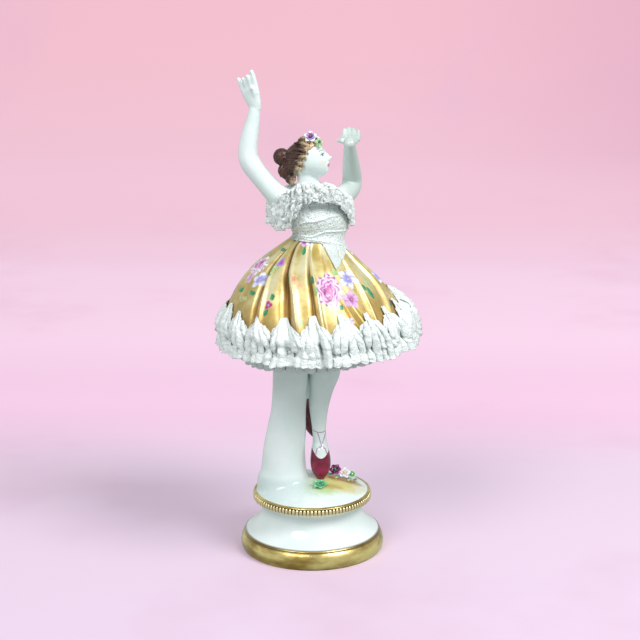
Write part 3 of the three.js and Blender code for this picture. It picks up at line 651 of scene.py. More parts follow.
def flowerPaint(kind, x, y):
    r, turn = hypot(x, y), atan2(y, x)
    if kind in ("rose", "rosePale"):
        return rose(r, turn, x, y, "pale" if kind == "rose" else "white")
    if kind in simpleFlowers:
        return simpleFlower(r, turn, x, y, *simpleFlowers[kind])
    if kind == "leaf":
        return leafPaint(x, y, "leaf", "leafDark", 1)
    if kind == "leafPale":
        return leafPaint(x, y, "leafPale", "leaf", 0.85)
    return sprig(x, y)


paintedSheenSpots = [  # angle, reach, half width and half height of pale patches painted on the gilding as highlights
    (-97, 0.2, 8, 0.2), (-70, 0.14, 8, 0.12), (-52, 0.2, 5, 0.14), (-101, 0.55, 3, 0.2), (-152, 0.3, 6, 0.16),
    (-124, 0.5, 4, 0.2), (-22, 0.34, 7, 0.2), (30, 0.3, 8, 0.2), (72, 0.4, 8, 0.24),
    (118, 0.26, 8, 0.18), (160, 0.46, 8, 0.22),
]


def skirtAngle(u):  # columns stand closer together in front
    spot = u - 0.5
    return spot * tau - 0.45 * sin(spot * tau) - pi / 2


def skirtPaint(u, v):
    angle = skirtAngle(u)
    spot = skirtPlace(angle, v, 0, 0)
    tone, cover = petals["gap"], 0.0
    for kind, _, _, wide, tall, turned, middle, across, down, far in paintedFlowers:
        away = spot - middle
        if away.length_squared > far * far:
            continue
        x, y = away.dot(across) / wide, away.dot(down) / tall
        x, y = x * cos(turned) + y * sin(turned), y * cos(turned) - x * sin(turned)
        painted = flowerPaint(kind, x, y)
        if painted:
            tone = blendColour(tone, painted[0], painted[1]) if cover > 0.05 else painted[0]
            cover = max(cover, painted[1])
    # the fold channel carries painted shade for the valleys and painted highlight for the ridges and pale
    # patches
    _, valley, ridge = foldAt(angle, v)
    for place, reach, wide, tall in paintedSheenSpots:
        off = wrapped(angle - radians(place))
        ridge = max(ridge, 0.9 * hill(off, 0, wide) * hill(v, reach, tall))
    low = ease(0.6, 0.78, v) * (0.32 + 0.2 * ringWobble(angle, 12, v * 6, 41))  # browner towards the lace at the hem, carried in the same channel as the painted valley shade
    valley = max(valley * mix(0.5, 1, ease(0.05, 0.3, v)), low)
    return {"paint": (*tone, 1), "fold": (cover, valley, ridge * (1 - low), 1)}


finish = Finish("gildedSkirt", Coat_Weight=0.25, Coat_Roughness=0.2)
cover, valley, ridge = finish.split(finish.attribute("fold"))
grain = finish.noise(1, 4, 0.6, finish.vector("MULTIPLY", finish.node("TexCoord", {}, {}, 2), (200, 12, 1)))
patch = finish.noise(110, 3, 0.6)
speck = finish.noise(1300, 3, 0.7)
low = 1 - (finish.split()[2] + (patch - 0.5) * (20 * mm)).step(119 * mm, 139 * mm)
# brown in the fold valleys is painted shade, pale on ridges and patches is painted highlight; the enamel
# darkens in valleys too
tone = finish.layered(
    linear(212, 183, 100), (patch.step(0.3, 0.7), 245, 231, 168),
    (grain.step(0.45, 0.75) * 0.25, 255, 242, 190), (valley.step(0.1, 0.7) * 0.9, 110, 72, 18),
    ((ridge + (patch - 0.5) * 0.5).step(0.15, 0.8) * 0.7, 250, 244, 208),
    (speck.step(0.6, 0.75) * 0.2, 168, 118, 44), (low * 0.5, 176, 140, 68))
enamel = finish.layered(finish.attribute("paint"), (valley.step(0.2, 0.8) * 0.45, 120, 80, 90))
finish.give(Base_Color=finish.mixed(cover, tone, enamel), Metallic=(1 - cover) * 0.65,
            Roughness=mix(patch * 0.14 + low * 0.08 + 0.3, 0.3, cover),
            Normal=finish.bump(grain * 0.6 + speck * 0.4, 0.06 * mm))


def skirtShell(u, v):
    return skirtPlace(skirtAngle(u), v)


def liningShell(u, v):
    return skirtPlace(skirtAngle(u), mix(0.2, 1, v), -skirtLook["wall"] - 0.4 * ease(0.2, 0.6, v), 0.8)


piece("skirt", surface(skirtLook["columns"], skirtLook["rows"], skirtShell, skirtPaint), finish)
piece("skirt_lining", surface(180, 34, liningShell), glaze("glaze"))
print("skirt done")

# Legs
finish = glaze("legGlaze")
x, y, z = finish.split(finish.vector("SUBTRACT", finish.place, tuple(figureLift * mm)))
shoeLook = {"vamp": 45.3, "sides": 3.2, "middle": 4.4, "ribbon": 0.27}
bow = (x - shoeLook["middle"] * mm) / (3.9 * mm)
vampEdge = (bow * bow * shoeLook["sides"] + shoeLook["vamp"]).least(49.0) * mm
heelEdge = mix(vampEdge, 49.4 * mm, y.step(1.5 * mm, 4.5 * mm))
rear = y.step(9 * mm, 9.4 * mm)
frontShoe = (1 - (z - heelEdge).step(-0.12 * mm, 0.12 * mm)) * (1 - rear)
rearShoe = rear * (1 - z.step(70.4 * mm, 70.8 * mm))
half = shoeLook["ribbon"]
sag = (z - 57.1 * mm - bow * bow * (0.7 * mm)).size()
ribbon = (1 - sag.step((half - 0.1) * mm, (half + 0.1) * mm)) * x.within(0.2 * mm, 8.6 * mm, 0.2 * mm)
for start, end in (((2.6, 57.2), (4.6, 50.8)), ((6.9, 57.2), (4.6, 50.8)), ((4.6, 50.8), (2.4, 49.6)),
                   ((2.4, 49.6), (1.7, 47)), ((4.6, 50.8), (6.4, 49.4)), ((6.4, 49.4), (7.2, 47))):
    ribbon = ribbon.most(finish.stroke(x, z, start, end, half, 0.1))
ribbon = ribbon * (1 - y.step(5 * mm, 5.4 * mm)) * (1 - frontShoe)
berry = finish.noise(300, 3).step(0.3, 0.7)
shoeTone = finish.layered(linear(100, 4, 36), (berry, 146, 15, 62), (rearShoe, 104, 22, 44))
tone = finish.mixed(frontShoe.most(rearShoe), finish.tone, shoeTone)
finish.give(Base_Color=finish.layered(tone, (ribbon * 0.85, 178, 142, 176)))
frontLegStops = [
    [4.5, 1.5, 142, 9, 9], [6.4, 1.5, 124, 8.8, 8.8], [6.6, 1.5, 109, 7.2, 7.4], [6.6, 3.4, 98, 7.2, 7.4],
    [6.2, 4.2, 88, 7.6, 7.6], [4.5, 4.2, 78.5, 5.9, 6.1], [3.3, 4.2, 69.5, 4.8, 4.9],
    [3.35, 4.6, 58, 3.4, 3.7], [3.7, 4.4, 51.5, 3.5, 4.6], [3.9, 3, 47, 4.5, 5.6], [4.1, 0.6, 42, 5, 5],
    [4.2, -2, 38, 4, 3.4], [4.3, -3.2, 35.6, 2, 1.7],
]
rearLegStops = [
    [-1, 4, 142, 8.6, 8.4], [-4, 4, 124, 8.2, 8], [-5.2, 5, 106, 6.8, 6.8], [-5.6, 9, 92, 6.3, 6.5],
    [-5.2, 13, 80, 5.2, 5.2], [-4.9, 15.2, 72, 4, 4], [-4.4, 16, 67, 4, 4.6], [-0.6, 15.4, 58, 4.3, 3.8],
    [2.4, 14.4, 52, 2.9, 2.6], [3.2, 14, 50, 1.4, 1.2],
]
hipStops = [[2, 0, 155, 9, 8], [1.6, 0, 146, 12, 10], [0.5, 0.8, 131, 14, 11]]
legs = [tube(frontLegStops, 36, 90, cap=0.02), tube(rearLegStops, 36, 80, cap=0.02), tube(hipStops, 40, 40)]
fuse(piece("legs", gather(legs), finish), 0.52, 8)

# Bodice
bodiceLook = {"columns": 300, "rows": 136, "cordRise": 0.75, "cordHalf": 0.5, "lace": 0.24}
bodiceCords = [  # each cord's level by its angle round the trunk, from the back round
    [(-180, 162), (-110, 158.2), (-72, 168.1), (-20, 170.3), (40, 171), (110, 170), (180, 162)],
    [(-180, 158.6), (-110, 156.8), (-34.6, 162.7), (13, 164.9), (60, 166), (110, 165), (180, 158.6)],
    [(-180, 156.8), (-100, 155.2), (-44, 155.4), (-9, 157.6), (48, 156.8), (110, 158.4), (180, 156.8)],
    [(-180, 146), (-60, 154.6), (-36.8, 154), (47.8, 150.6), (75, 152.4), (180, 146)],
]
finish = Finish("bodiceLace", Roughness=0.4, Coat_Weight=0.2)
net = finish.cells(1150)
cloud = finish.noise(620, 4, 0.75)
# painted shade: grey-green in the net's holes, greyer towards the lower edge, darker in the creases
low = 1 - finish.split()[2].step(146 * mm, 154 * mm)
tone = finish.layered(
    linear(234, 243, 241), ((1 - net.step(0.2, 0.5)) * cloud.step(0.42, 0.56) * 0.8, 140, 156, 152),
    (low * 0.6, 196, 208, 205), (finish.creaseShade(2 * mm).step(0.2, 0.7) * 0.6, 130, 142, 134))
finish.give(Base_Color=tone, Normal=finish.bump(net * 0.6 + cloud, 0.4 * mm))


def bodiceShell(u, v):
    angle = u * tau + pi
    point = bodicePlace(angle, v)
    level = point.z - figureLift.z
    aside = wrapped(angle)
    cord = max(hill(level, alongStops(stops, aside), bodiceLook["cordHalf"]) for stops in bodiceCords)
    fine = bodiceLook["lace"] * (ringWobble(angle, 130, level * 1.7) + ringBillow(angle, 40, level * 0.5, 2))
    rise = bodiceLook["cordRise"] * max(cord, 0.6 * hill(v, 0.985, 0.018))
    return point + trunkOut(angle) * (rise + fine * (1 - cord))


piece("bodice", surface(bodiceLook["columns"], bodiceLook["rows"], bodiceShell), finish)

# Arms, hands, neck and head
raisedArmStops = [
    [-8, -3.5, 168.5, 6, 5.6], [-15.5, -5, 173.6, 5.2, 5.2], [-22, -5, 180.6, 4.6, 4.6],
    [-28, -4.6, 188.6, 4.7, 4.6], [-29.2, -4.4, 194, 4.5, 4.4], [-28.4, -4.6, 200.5, 4.1, 4],
    [-26.8, -4.8, 208, 3.2, 3.1], [-25.9, -5, 213.2, 2.5, 2.3],
]
bentArmStops = [
    [8, 2, 168.5, 6, 5.6], [14, 8, 170.8, 5.2, 5.2], [18.4, 15.4, 174.2, 4.7, 4.7],
    [19, 16.4, 178.4, 4.6, 4.6], [18.6, 12, 184, 4.3, 4.2], [18, 6, 190.2, 3.6, 3.5],
    [17.6, 1.2, 195.6, 3.1, 2.8], [17.5, -0.6, 197.6, 3, 2.6],
]
raisedFingers = [  # where each finger starts and ends aside, its reach and the curl of its tip, thumb first
    [1.6, 2.4, 9.8, 2.4], [3, 3.8, 16.9, 0.5], [1.1, 1.5, 15.3, 1.6], [-0.8, -0.9, 14.6, 1.8],
    [-2.6, -3.9, 15, 0.6],
]
openFingers = [
    [-3.2, -5.6, 5, -0.4], [-2.4, -2.8, 12, 3.4], [-0.5, -0.8, 12.8, 3.8], [1.5, 1.4, 12.4, 3.6],
    [3.5, 3.8, 11.4, 3],
]


def handParts(wrist, along, palm, fingers, wide):
    along, palm = Vector(along).normalized(), Vector(palm).normalized()
    across = along.cross(palm)

    def spot(out, aside, up):
        return Vector(wrist) + along * out + across * aside + palm * up

    palmStops = [[*spot(-0.6, 0, -0.2), 2.5, 2.1], [*spot(3, 0.2, 0), 3.6, 2.0],
                 [*spot(6.6, 0, 0.1), wide, 1.7], [*spot(9.4, 0, 0.3), wide, 1.4]]
    parts = [tube(palmStops, 32, 32, facing=palm)]
    for index, (root, aside, reach, curl) in enumerate(fingers):
        thumb = index == 0
        start = spot(2, root, 0.4) if thumb else spot(6.4, root, 0.1)
        middle = spot(5 if thumb else mix(6.4, reach, 0.45), mix(root, aside, 0.5), curl * 0.2)
        far = spot(mix(5 if thumb else 8, reach, 0.72), mix(root, aside, 0.8), curl * 0.55)
        parts.append(tube([[*start, 1.4], [*middle, 1.3], [*far, 1.2], [*spot(reach, aside, curl), 0.9]],
                          20, 26, facing=palm))
    return parts


headPlace = Vector((-1.3, 2.6, 189.5))
headTurn = Matrix.Rotation(radians(-12), 3, "Z") @ Matrix.Rotation(radians(-20), 3, "Y")  # face along x
faceBumps = [  # rise, then place up and aside, then spread up and aside, in shares of the head
    [2.3, -0.27, 0, 0.1, 0.12], [1.4, -0.1, 0, 0.16, 0.085], [0.8, -0.5, 0, 0.04, 0.17],
    [0.75, -0.6, 0, 0.045, 0.14], [-0.5, -0.55, 0, 0.02, 0.18], [-0.35, -0.69, 0, 0.05, 0.2],
    [0.9, -0.86, 0, 0.12, 0.22], [0.35, -0.34, 0.11, 0.05, 0.06], [0.45, 0.15, 0.26, 0.06, 0.2],
    [-1, 0, 0.36, 0.11, 0.15], [0.7, -0.02, 0.36, 0.06, 0.09], [0.35, -0.3, 0.42, 0.2, 0.2],
]
faceBumps += [[rise, up, -aside, tall, wide] for rise, up, aside, tall, wide in faceBumps if aside]


def skull(up, angle):
    around = sqrt(max(1 - up * up, 0))
    front, aside = cos(angle) * around, sin(angle) * around
    low = ease(0.15, 1, -up)
    rise = sum(height * hill(up, level, tall) * hill(aside, side, wide)
               for height, level, side, tall, wide in faceBumps)
    rise *= ease(0, 0.35, front)
    return (front * (8.3 * (1 + 0.34 * low) if front > 0 else 9.4 * (1 - 0.3 * low)) + rise,
            aside * 6.9 * (1 - 0.22 * low), up * (8.9 if up > 0 else 9.8))


def inHead(forward, aside, up):
    return headPlace + headTurn @ Vector((forward, aside, up)) + figureLift


def headShell(u, v):
    return inHead(*skull(cos(v * pi), u * tau + pi))


def shoulders(u, v):
    if v < 0.001 or v > 0.999:
        return trunkPlace(mix(0, 6.5, v), 0, 0) - trunkFront * trunkRows[0 if v < 0.5 else 6][4]
    return trunkPlace(mix(0, 6.5, v), u * tau, -0.1 if v > 0.5 else 0)


def headSums(finish):  # how far a place lies ahead, aside and up from the middle of the head, in millimetres
    local = finish.vector("SUBTRACT", finish.place, tuple((headPlace + figureLift) * mm))
    return [finish.vector("DOT_PRODUCT", local, tuple(Vector(way) / mm), 1) for way in headTurn.col]


finish = glaze("bodyGlaze")
ahead, beside, high = headSums(finish)
beside = beside.size()
face = ahead.within(2.9, 12, 0.7)


def faceSpot(across, level, wide, tall, start=0.5):
    flat = (beside - across) / wide
    rise = (high - level) / tall
    return (1 - (flat * flat + rise * rise).step(start, 1)) * face


def faceLine(level, bend, middle, half, low, top):
    away = beside - middle
    line = (high - level + away * away * bend).size()
    return (1 - line.step(half * 0.6, half * 1.5)) * beside.within(low, top, 0.2) * face


# painted face: blush, lips, brows and eye; then painted shade in greener grey on all more than 11 to 18 mm to
# the right, the bent arm and its hand
finish.give(Base_Color=finish.layered(
    finish.tone, (faceSpot(3.6, -3, 2.1, 1.8, 0) * 0.22, 240, 178, 170),
    (faceSpot(0, -5.4, 1.7, 1.05) * 0.75, 204, 96, 96),
    (faceLine(-5.4, 0.1, 0, 0.14, -1, 1.6) * 0.7, 140, 50, 52),
    (faceLine(2.1, 0.12, 2.6, 0.2, 0.9, 4.3) * 0.6, 124, 84, 60),
    (faceSpot(2.5, -0.15, 0.62, 0.55, 0.7) * 0.9, 74, 92, 112),
    (faceLine(0.45, 0.22, 2.5, 0.17, 1.2, 3.9) * 0.8, 70, 44, 36),
    (finish.split()[0].step(11 * mm, 18 * mm) * 0.6, 168, 184, 174)))
parts = [tube(raisedArmStops, 36, 80), tube(bentArmStops, 36, 80, facing=(1, 0, 0)),
         surface(64, 60, shoulders), surface(120, 110, headShell)]
parts += handParts((-25.6, -5, 213.6), (-0.27, 0, 0.963), (-0.42, -0.9, -0.118), raisedFingers, 4.3)
parts += handParts((17.5, -0.4, 197.4), (0.04, 0.99, 0.12), (0, -0.12, 0.99), openFingers, 4.7)
fuse(piece("body", gather(parts), finish), 0.38, 6)
print("body done")

# Hair
hairLook = {"locks": 15, "lockRise": 0.7}
finish = Finish("hairGlaze", Coat_Weight=0.2, Coat_Roughness=0.1, Roughness=0.34)
ahead, _, high = headSums(finish)
streak = finish.noise(650, 3, 0.6)
edge = (ahead - high + (streak - 0.5) * 5).step(-5.5, -1.2) * (1 - high.step(3, 6))  # near the hairline
fair = (ahead + high * 0.3 + (streak - 0.5) * 6).step(1.2, 5.8).most(edge)
# painted shade darkens the hair deep between its locks and curls
tone = finish.layered(
    linear(28, 11, 8), (streak.step(0.3, 0.7), 80, 41, 23), (fair * 0.85, 216, 190, 150),
    (finish.noise(1150).step(0.55, 0.63) * 0.9, 72, 36, 20),
    (finish.noise(190).step(0.5, 0.75) * 0.22, 132, 84, 56),
    (finish.creaseShade(2 * mm).step(0.2, 0.7) * 0.7, 26, 10, 8))
finish.give(Base_Color=tone, Normal=finish.bump(streak, 0.12 * mm))


def hairShell(u, v):
    up, turn = cos(v * pi), u * tau + pi
    front, aside, high = skull(up, turn)
    hairline = mix(-2 + high, 6.2, ease(3.6, 5.4, high))
    behind = ease(0.5, -0.6, front - hairline)
    combed = atan2(aside, high - 0.5 + 0.25 * front)  # locks run back to the bun
    lock = 0.5 + 0.5 * cos(hairLook["locks"] * combed + 1.2 * sin(0.5 * front)
                                + wobble(front * 0.3, aside * 0.3))
    full = 0.9 + 0.24 * max(0, -front) + hairLook["lockRise"] * lock ** 0.6 * ease(0.6, 3.6, hairline - front)
    thick = mix(-1.3, full, behind)
    swell = 1 + thick / 8.5
    return inHead(front * swell, aside * swell, high * (1 + min(thick, 0.9) / 9))


def curl(middle, size, twist, lean=0.0):  # a knot of hair wound on itself
    def place(u, v):
        polar, turn = v * pi, u * tau
        groove = 1 - 0.13 * abs(sin(1.5 * turn + twist * polar)) ** 0.7
        ball = Vector((sin(polar) * cos(turn), cos(polar), sin(polar) * sin(turn)))
        ball = Matrix.Rotation(lean, 3, "Z") @ ball
        return Vector(middle) + Vector([part * half * groove for part, half in zip(ball, size)]) + figureLift
    return surface(72, 54, place)


def lockAlong(points, width):
    (forward, aside, up), *rest = points
    points = [(forward - 1.2, aside, up - 0.1), *rest]  # it comes out of the hair near its edge
    last = len(points) - 1
    return tube([[*(inHead(*point) - figureLift), width * (1 - 0.75 * abs(index / last * 2 - 1)), width * 0.6]
                 for index, point in enumerate(points)], 16, 30)


combedLocks = [
    ([(6.6, -2.2, 7.6), (5, -1, 10), (2.4, 1.4, 10.4), (1, 3, 9.6)], 1.3),
    ([(6.2, -3.8, 6.2), (4, -3.4, 9), (1.2, -2.4, 10.2), (-1.4, -1.6, 10)], 1.3),
    ([(5, -5.2, 4.6), (2.6, -5.6, 6.6), (0, -5.2, 8.4), (-3, -4, 9.4)], 1.2),
    ([(3.2, -6.4, 2.6), (1.6, -7.2, 4.4), (-0.8, -7.4, 5.8), (-3.6, -6.6, 7)], 1.2),
    ([(1.4, -6.9, 0.4), (0.2, -7.9, 2), (-2, -8.3, 3), (-5, -7.4, 3.4)], 1.1),
    ([(-0.8, -6.8, -2), (-1.6, -7.9, -0.6), (-3.6, -8.2, 0.4), (-6.4, -7.2, 0.8)], 1.1),
    ([(-2.6, -6.2, -4), (-3.4, -7.2, -2.8), (-5.2, -7.2, -1.8), (-7.8, -6, -1.6)], 1.1),
    ([(6.2, 2.4, 7.4), (4.4, 4, 8.4), (1.8, 5.4, 8), (-1, 6, 7)], 1.3),
    ([(4.8, 4.8, 5.2), (2.6, 6.4, 6), (0, 7.2, 5.6), (-3.2, 7, 5)], 1.2),
]
parts = [surface(200, 140, hairShell), curl((-14, 3.6, 190.4), (4.2, 4.4, 4.3), 7, 0.4),
         curl((-12, 3, 184), (4, 4.4, 4.2), 6, 0.9), curl((-9.8, 1.6, 180.6), (2.8, 3.4, 3), 5, 0.2)]
parts += [lockAlong(points, width) for points, width in combedLocks]
fuse(piece("hair", gather(parts), finish), 0.33, 2)
print("hair done")


# Lace
def netting(name, shadeDepth):  # white net under glaze, with painted shade in its holes and between the folds
    finish = Finish(name, Roughness=0.4, Coat_Weight=0.15)
    net = finish.cells(1100)
    froth = finish.noise(560, 4, 0.75)
    holes = (1 - net.step(0.2, 0.5)) * froth.step(0.44, 0.6)
    # painted shade: grey in the holes and deeper grey in the creases
    tone = finish.layered(linear(239, 246, 245), (holes * 0.6 * shadeDepth, 142, 158, 154),
                          (finish.creaseShade(4 * mm).step(0.26, 0.78) * shadeDepth, 112, 124, 114))
    finish.give(Base_Color=tone, Normal=finish.bump(net * 0.6 + froth, 0.4 * mm))
    return finish


def lacePiece(name, columns, rows, shell, finish, node):
    made = piece(name, surface(columns, rows, shell), finish, node)
    modify(made, "SOLIDIFY", thickness=0.3 * mm, offset=0)


laceFinish = netting("lace", 0.88)
flounceLook = {
    "columns": 820, "rows": 44, "lobes": 19, "start": -98.5, "nub": 0.44, "height": 9.2, "peak": 7.6,
    "drop": 1.8, "folds": 76, "foldDepth": 2.3, "froth": 0.6, "fine": 0.2, "flare": 5.4,
}
flounceStands = [[0.5], [1.9], [2.8], [2.5], [2.3], [3.1]]  # how far out it is, from top to edge
chance = random.Random(19)
lobeOdds = [chance.uniform(-1, 1) for _ in range(flounceLook["lobes"])]
hemLevel, hemRadius = skirtRows[-1][0], 44


def flounceShell(u, v):
    look = flounceLook
    angle = skirtAngle(u)
    lobe, share = divmod((degrees(angle) - look["start"]) / (360 / look["lobes"]), 1)
    odd = lobeOdds[int(lobe) % look["lobes"]]
    nub = look["nub"] + 0.08 * odd
    offNub = (nub - share) / nub if share < nub else (share - nub) / (1 - nub)
    shoulder = max(1 - offNub ** 2, 0) ** 0.6
    toBack = max(cos(angle - backRight), 0) ** 2
    arch = 0.64 * shoulder + (0.36 + 0.06 * odd) * (1 - ease(0.2, 0.34, offNub))
    peak = look["peak"] * (1 + 0.1 * odd + 0.6 * toBack)
    start = look["folds"] * angle + 2.6 * ringWobble(angle, 24, 0, 3)
    hem = look["drop"] + 1.9 * abs(sin(start / 2)) ** 1.2 + 0.9 * ringWobble(angle, 44, 0, 6)
    hem += 0.6 * ringWobble(angle, 150, 0, 8) + 0.8 * ringWobble(angle, 70, 0, 16)
    height = mix(look["height"] + peak * arch, -hem, v)
    fallen = ease(look["height"] + peak, 3.5, height)
    gathered = 1 / mix(0.34, 1, fallen) - 1  # the folds come together at the nub
    source = angle + (share - nub) * tau / look["lobes"] * gathered
    turn = look["folds"] * source + 2.6 * ringWobble(source, 24, 0, 3)
    turn += 0.6 * ringWobble(source, 30, v * 2, 5)
    fold = mix(crease(turn), -crease(turn + pi), 0.6 * fallen) * (0.75 + 1.5 * ringWobble(source, 34, 0, 7))
    full = mix(0.25, 1, fallen) * mix(shoulder, 1, fallen ** 2)
    away = smoothRow(flounceStands, v * 5)[0] * mix(0.1 + 0.9 * shoulder ** 0.7, 1, ease(0.5, 0.8, v))
    away += look["foldDepth"] * fold * full
    away -= 2.4 * hill(v, 0.62, 0.13) * ease(0.45, 0.8, ringBillow(angle, 62, v * 1.6, 15))  # dark hollows
    lumps = ringBillow(angle, 110, height * 0.25, 9) - 0.5
    lumps += 1.6 * toBack * (ringBillow(angle, 48, height * 0.16, 13) - 0.5)
    away += look["froth"] * (1 + toBack) * lumps * ease(0, 0.2, v + 0.04)
    away += look["fine"] * ringWobble(angle, 460, height * 1.3, 4)
    away += 0.5 * ringWobble(angle, 170, height * 0.4, 14) * ease(0.7, 1, v)
    away += look["flare"] * toBack * ease(0, 0.22, v) * (1 - v) ** 1.2 * shoulder ** 0.6
    sway = -1.1 * full * sin(turn) + 0.4 * ringWobble(angle, 120, height * 0.5, 2)
    sway = (sway + 1.2 * fallen * ringWobble(angle, 26, 0, 10)) / hemRadius
    reach, folded = reachAt(hemLevel + max(height, 0)), mix(1, 0.5, ease(0.2, 0.6, v))
    away = max(away, 0.45 + (1 - folded) * max(foldAt(angle + sway, reach)[0], 0))
    point = skirtPlace(angle + sway, reach, away, folded)
    point.z += min(height, 0)
    return point


def underShell(u, v):
    angle = skirtAngle(u)
    turn = 71 * angle + pi * ringWobble(angle, 34, v, 12)
    fold = crease(turn) * (0.8 + 0.6 * ringWobble(angle, 50, 0, 13))
    height = mix(4, -3.6 - 0.7 * fold - 0.7 * ringWobble(angle, 60, 0, 14), v)
    away = 0.2 + 1.4 * v + 1.3 * v * fold + 0.7 * v * (ringBillow(angle, 150, height * 0.3, 15) - 0.5)
    point = skirtPlace(angle - 0.8 * v * sin(turn) / hemRadius, reachAt(hemLevel + max(height, 0)),
                       away - 0.6 * (height < 0), 0.5)
    point.z += min(height, 0)
    return point


def petticoatShell(u, v):
    angle = skirtAngle(u)
    turn = 47 * angle + pi * ringWobble(angle, 26, v, 22)
    fold = crease(turn)
    drop = 6.4 + 2 * cos(angle - 4) + 0.9 * ringWobble(angle, 60, 0, 23) + 0.8 * fold
    height = mix(3, -drop, v)
    away = mix(0.3, 1.3, v) * fold + 0.7 * v * (ringBillow(angle, 120, height * 0.3, 24) - 0.5)
    along = outward(angle + pi / 2) * -0.9 * sin(turn) * v
    return skirtPlace(angle, 1, away - 6 + 0.4 * v, 0) + along + Vector((0, 0, height))


lacePiece("flounce", flounceLook["columns"], flounceLook["rows"], flounceShell, laceFinish, "hem_flounce")
lacePiece("flounce_under", 560, 18, underShell, laceFinish, "hem_flounce")
lacePiece("petticoat_lace", 520, 18, petticoatShell, laceFinish, "petticoat")

collarLook = {"columns": 640, "rows": 38, "folds": 24, "foldDepth": 0.85, "froth": 0.85, "fine": 0.22}
collarPlaces = [  # x, y, z and how tall the ruffle is there
    [-18.2, -3, 166.6, 1.1], [-10.8, -11.6, 167.6, 1.6], [-3, -13.8, 175.6, 0.86], [5, -12.4, 175.8, 0.8],
    [12.5, -8, 173, 0.75], [17.2, 0, 164.6, 1.15], [13, 11, 169, 0.8], [1, 12.5, 173.6, 0.72],
    [-11.5, 7, 171, 0.9],
]
collarSection = [[-2.6, 0.5], [-0.8, 0.95], [1.1, 0.84], [1.9, 0.3], [2.0, -0.35], [1.8, -0.88]]  # out and up


def loopAt(rows, share):  # a closed smooth line through the places
    spun = [rows[(index - 2) % len(rows)] for index in range(len(rows) + 5)]
    return smoothRow(spun, share % 1 * len(rows) + 2)


def collarFrame(share):
    x, y, z, tall = loopAt(collarPlaces, share)
    ahead = Vector(loopAt(collarPlaces, share + 0.005)[:3]) - Vector(loopAt(collarPlaces, share - 0.005)[:3])
    ahead.z = 0
    ahead.normalize()
    return Vector((x, y, z)) + figureLift, ahead, Vector((ahead.y, -ahead.x, 0)), tall * 6


def collarShell(u, v):
    look = collarLook
    middle, ahead, out, tall = collarFrame(u)
    loop = u * tau
    puffed = 1 + 0.9 * hill(u, 0.09, 0.08)
    turn = tau * (look["folds"] * u + 0.9 * ringWobble(loop, 16, v * 1.8, 31))
    reach, level = smoothRow(collarSection, v * 5)
    edge = hill(v, 0.22, 0.14) + v ** 3
    fold = crease(turn) * (0.7 + 0.9 * ringWobble(loop, 22, v, 36))
    height = level * tall + edge * (0.5 * fold + 1.1 * ringWobble(loop, 36, 0, 32))
    away = reach + look["foldDepth"] * puffed * fold * ease(0, 0.3, v)
    lumps = ringBillow(loop, 44, height * 0.4, 33) + 0.7 * ringBillow(loop, 110, height * 0.9, 37) - 0.8
    away += look["froth"] * puffed * lumps * ease(-0.2, 0.3, v)
    away += look["fine"] * ringWobble(loop, 190, height * 1.6, 34)
    sway = 0.6 * puffed * sin(turn) * ease(0.2, 0.9, v) + 0.8 * ringWobble(loop, 50, height * 0.5, 35)
    return middle + out * away + ahead * sway + Vector((0, 0, height))


collarFinish = netting("collarLace", 0.5)
lacePiece("collar", collarLook["columns"], collarLook["rows"], collarShell, collarFinish, "lace_collar")
print("lace done")

# Applied flowers
enamelFinish = Finish("enamel", Roughness=0.2, Coat_Weight=0.4)
shade = enamelFinish.noise(900, 3, 0.6)
tone = enamelFinish.layered(enamelFinish.attribute("paint"), (shade.step(0.45, 0.75) * 0.25, 250, 250, 248))
enamelFinish.give(Base_Color=tone, Normal=enamelFinish.bump(shade, 0.1 * mm))


def petal(middle, axis, turned, length, wide, lift, tones):  # a cupped petal from the middle outwards
    axis = Vector(axis).normalized()
    way = Matrix.Rotation(turned, 3, axis) @ axis.orthogonal().normalized()
    side = axis.cross(way)
    root, tip = (petals[name] for name in tones)

    def place(u, v):
        across = (u - 0.5) * 2
        width = wide * sin(pi * min(0.12 + v * 0.8, 1)) ** 0.7
        up = lift * v * length + 0.35 * width * across * across - 0.3 * lift * length * v * v
        return middle + way * length * v * (1 - 0.12 * across * across) + side * across * width + axis * up

    return surface(6, 5, place, lambda u, v: {"paint": (*blendColour(root, tip, ease(0.2, 0.9, v)), 1)})


def seedHead(middle, radius, tone):
    def place(u, v):
        polar, turn = v * pi, u * tau
        far = radius * (1 + 0.08 * cos(5 * turn) * sin(polar))
        return middle + (outward(turn) * sin(polar) + Vector((0, 0, cos(polar)))) * far

    return surface(10, 6, place, lambda u, v: {"paint": (*petals[tone], 1)})


def blossom(middle, axis, radius, count, outer, inner, heart, turned=0.0):
    parts = []
    for ring, (size, lift, tones) in enumerate(((1, 0.25, outer), (0.68, 0.75, inner))):
        long = radius * size
        for index in range(count):
            turn = turned + (index + ring * 0.5) / count * tau
            parts.append(petal(middle, axis, turn, long, long * 0.46, lift, tones))
    parts.append(seedHead(middle + Vector(axis).normalized() * radius * 0.3, radius * 0.24, heart))
    return parts


def applied(name, parts, node):
    made = piece(name, gather(parts), enamelFinish, node)
    modify(made, "SOLIDIFY", thickness=0.35 * mm, offset=0)
    modify(made, "SUBSURF", levels=1, render_levels=1)


def onMound(x, y, rise):
    return Vector((x, y, moundAt(x, y) + rise))


